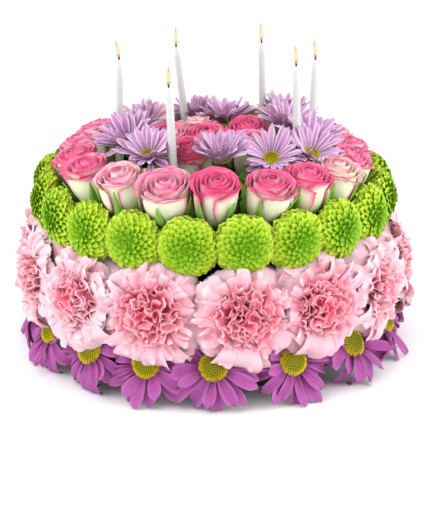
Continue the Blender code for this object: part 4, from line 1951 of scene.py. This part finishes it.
@dataclass(frozen=True)
class DaisyBed:
    """The daisies of one kind, with the spiral of florets that makes their discs."""

    kind: str
    plant: Callable[[Head], Daisy]
    slot: str
    disc: Spiral

    def build(self, layout: Layout, petal: bpy.types.Material, floret: bpy.types.Material) -> None:
        """Builds the petals as one piece and the discs as another.

        Args:
            layout: where the daisies stand.
            petal: the petals' finish.
            floret: the discs' finish.
        """
        shapes, heads = self.disc.shapes(floret, 2), layout.heads[self.kind]
        petals, discs = Sheaf(), Sheaf()
        for head in heads:
            daisy = self.plant(head)
            daisy.add_to(petals)
            shapes[head.number % 2].add_to(discs, head, daisy.lift)
        petals.build(f"{self.kind}_petals", petal, self.slot, *(head.name for head in heads))
        discs.build(f"{self.kind}_discs", floret, self.slot)


@dataclass(frozen=True)
class ButtonRing:
    """The ring of green button poms."""

    pom: Spiral = Spiral(
        "button_florets", Floret.SCOOP, 230, radius=0.0200, rise=0.0130, reach_round=math.radians(112),
        crowding=0.58, root=0.68, width_heart=0.0026, width_rim=0.0068,
    )
    variants: int = 4
    give: float = 0.6

    def build(self, layout: Layout, floret: bpy.types.Material) -> None:
        """Builds the poms as one piece, with a few of them made and then repeated.

        Args:
            layout: where they stand.
            floret: the florets' finish.
        """
        shapes, sheaf = self.pom.shapes(floret, self.variants), Sheaf()
        for head in layout.heads["button"]:
            shapes[head.number % self.variants].add_to(sheaf, head, give=self.give)
        sheaf.build("button_poms", floret, "button_green", "button_ring")


def build_daisies(layout: Layout) -> None:
    """Builds the purple daisies at the foot and the lilac ones on top.

    Args:
        layout: where they stand.
    """
    purple = DaisyFinish().make()
    lilac = DaisyFinish(
        "lilac_petal", depth=0.3, middle=tint(178, 112, 172), base=tint(134, 50, 120),
        tip=tint(202, 156, 198), back=tint(240, 228, 238), streak=tint(224, 200, 224), margin=0.55,
    ).make()
    # the disc's shade colour is painted shade between its florets
    disc = FloretFinish(
        "daisy_disc", 0.6, 0.1, relief=0.0002, heart=tint(104, 136, 12), rim=tint(190, 172, 20),
        tip=tint(214, 198, 52), shade=tint(112, 96, 8),
    ).make()
    wide = Spiral(
        "lower_daisy_florets", Floret.BUD, 190, radius=0.0100, rise=0.0046, reach_round=math.radians(88),
        crowding=0.5, root=0.80, width_heart=0.0011, width_rim=0.0014,
    )
    small = replace(wide, name="top_daisy_florets", count=90, radius=0.0056, rise=0.0034)
    DaisyBed("lower_daisy", Daisy.at_foot, "purple_petal", wide).build(layout, purple, disc)
    DaisyBed("top_daisy", Daisy.on_top, "lilac_petal", small).build(layout, lilac, disc)


def build_carnations(layout: Layout) -> None:
    """Builds the carnations, which are paler towards the cake's sides.

    Args:
        layout: where they stand.
    """
    finish, palest = CarnationFinish().make(), 0.40
    for head in layout.heads["carnation"]:
        aside = np.maximum(smooth(0.030, 0.075, -head.centre[0]), smooth(0.070, 0.092, head.centre[0]))
        Carnation(head, paleness=palest * float(aside)).build(finish)


def main() -> None:
    """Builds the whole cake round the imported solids."""
    logging.basicConfig(level=logging.INFO, format="%(message)s")
    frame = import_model()
    layout = Layout()
    FoamBlock().dress(frame, FoamFinish().make())
    build_daisies(layout)
    build_carnations(layout)
    ButtonRing().build(layout, FloretFinish().make())
    leaf = LeafFinish().make()
    RoseBed().build(layout, RoseFinish().make(), leaf)
    Greens(layout).build(leaf)
    Tapers(layout).build(WaxFinish().make(), WickFinish().make(), FlameFinish().make())
    Studio().build()


if __name__ == "__main__":
    main()
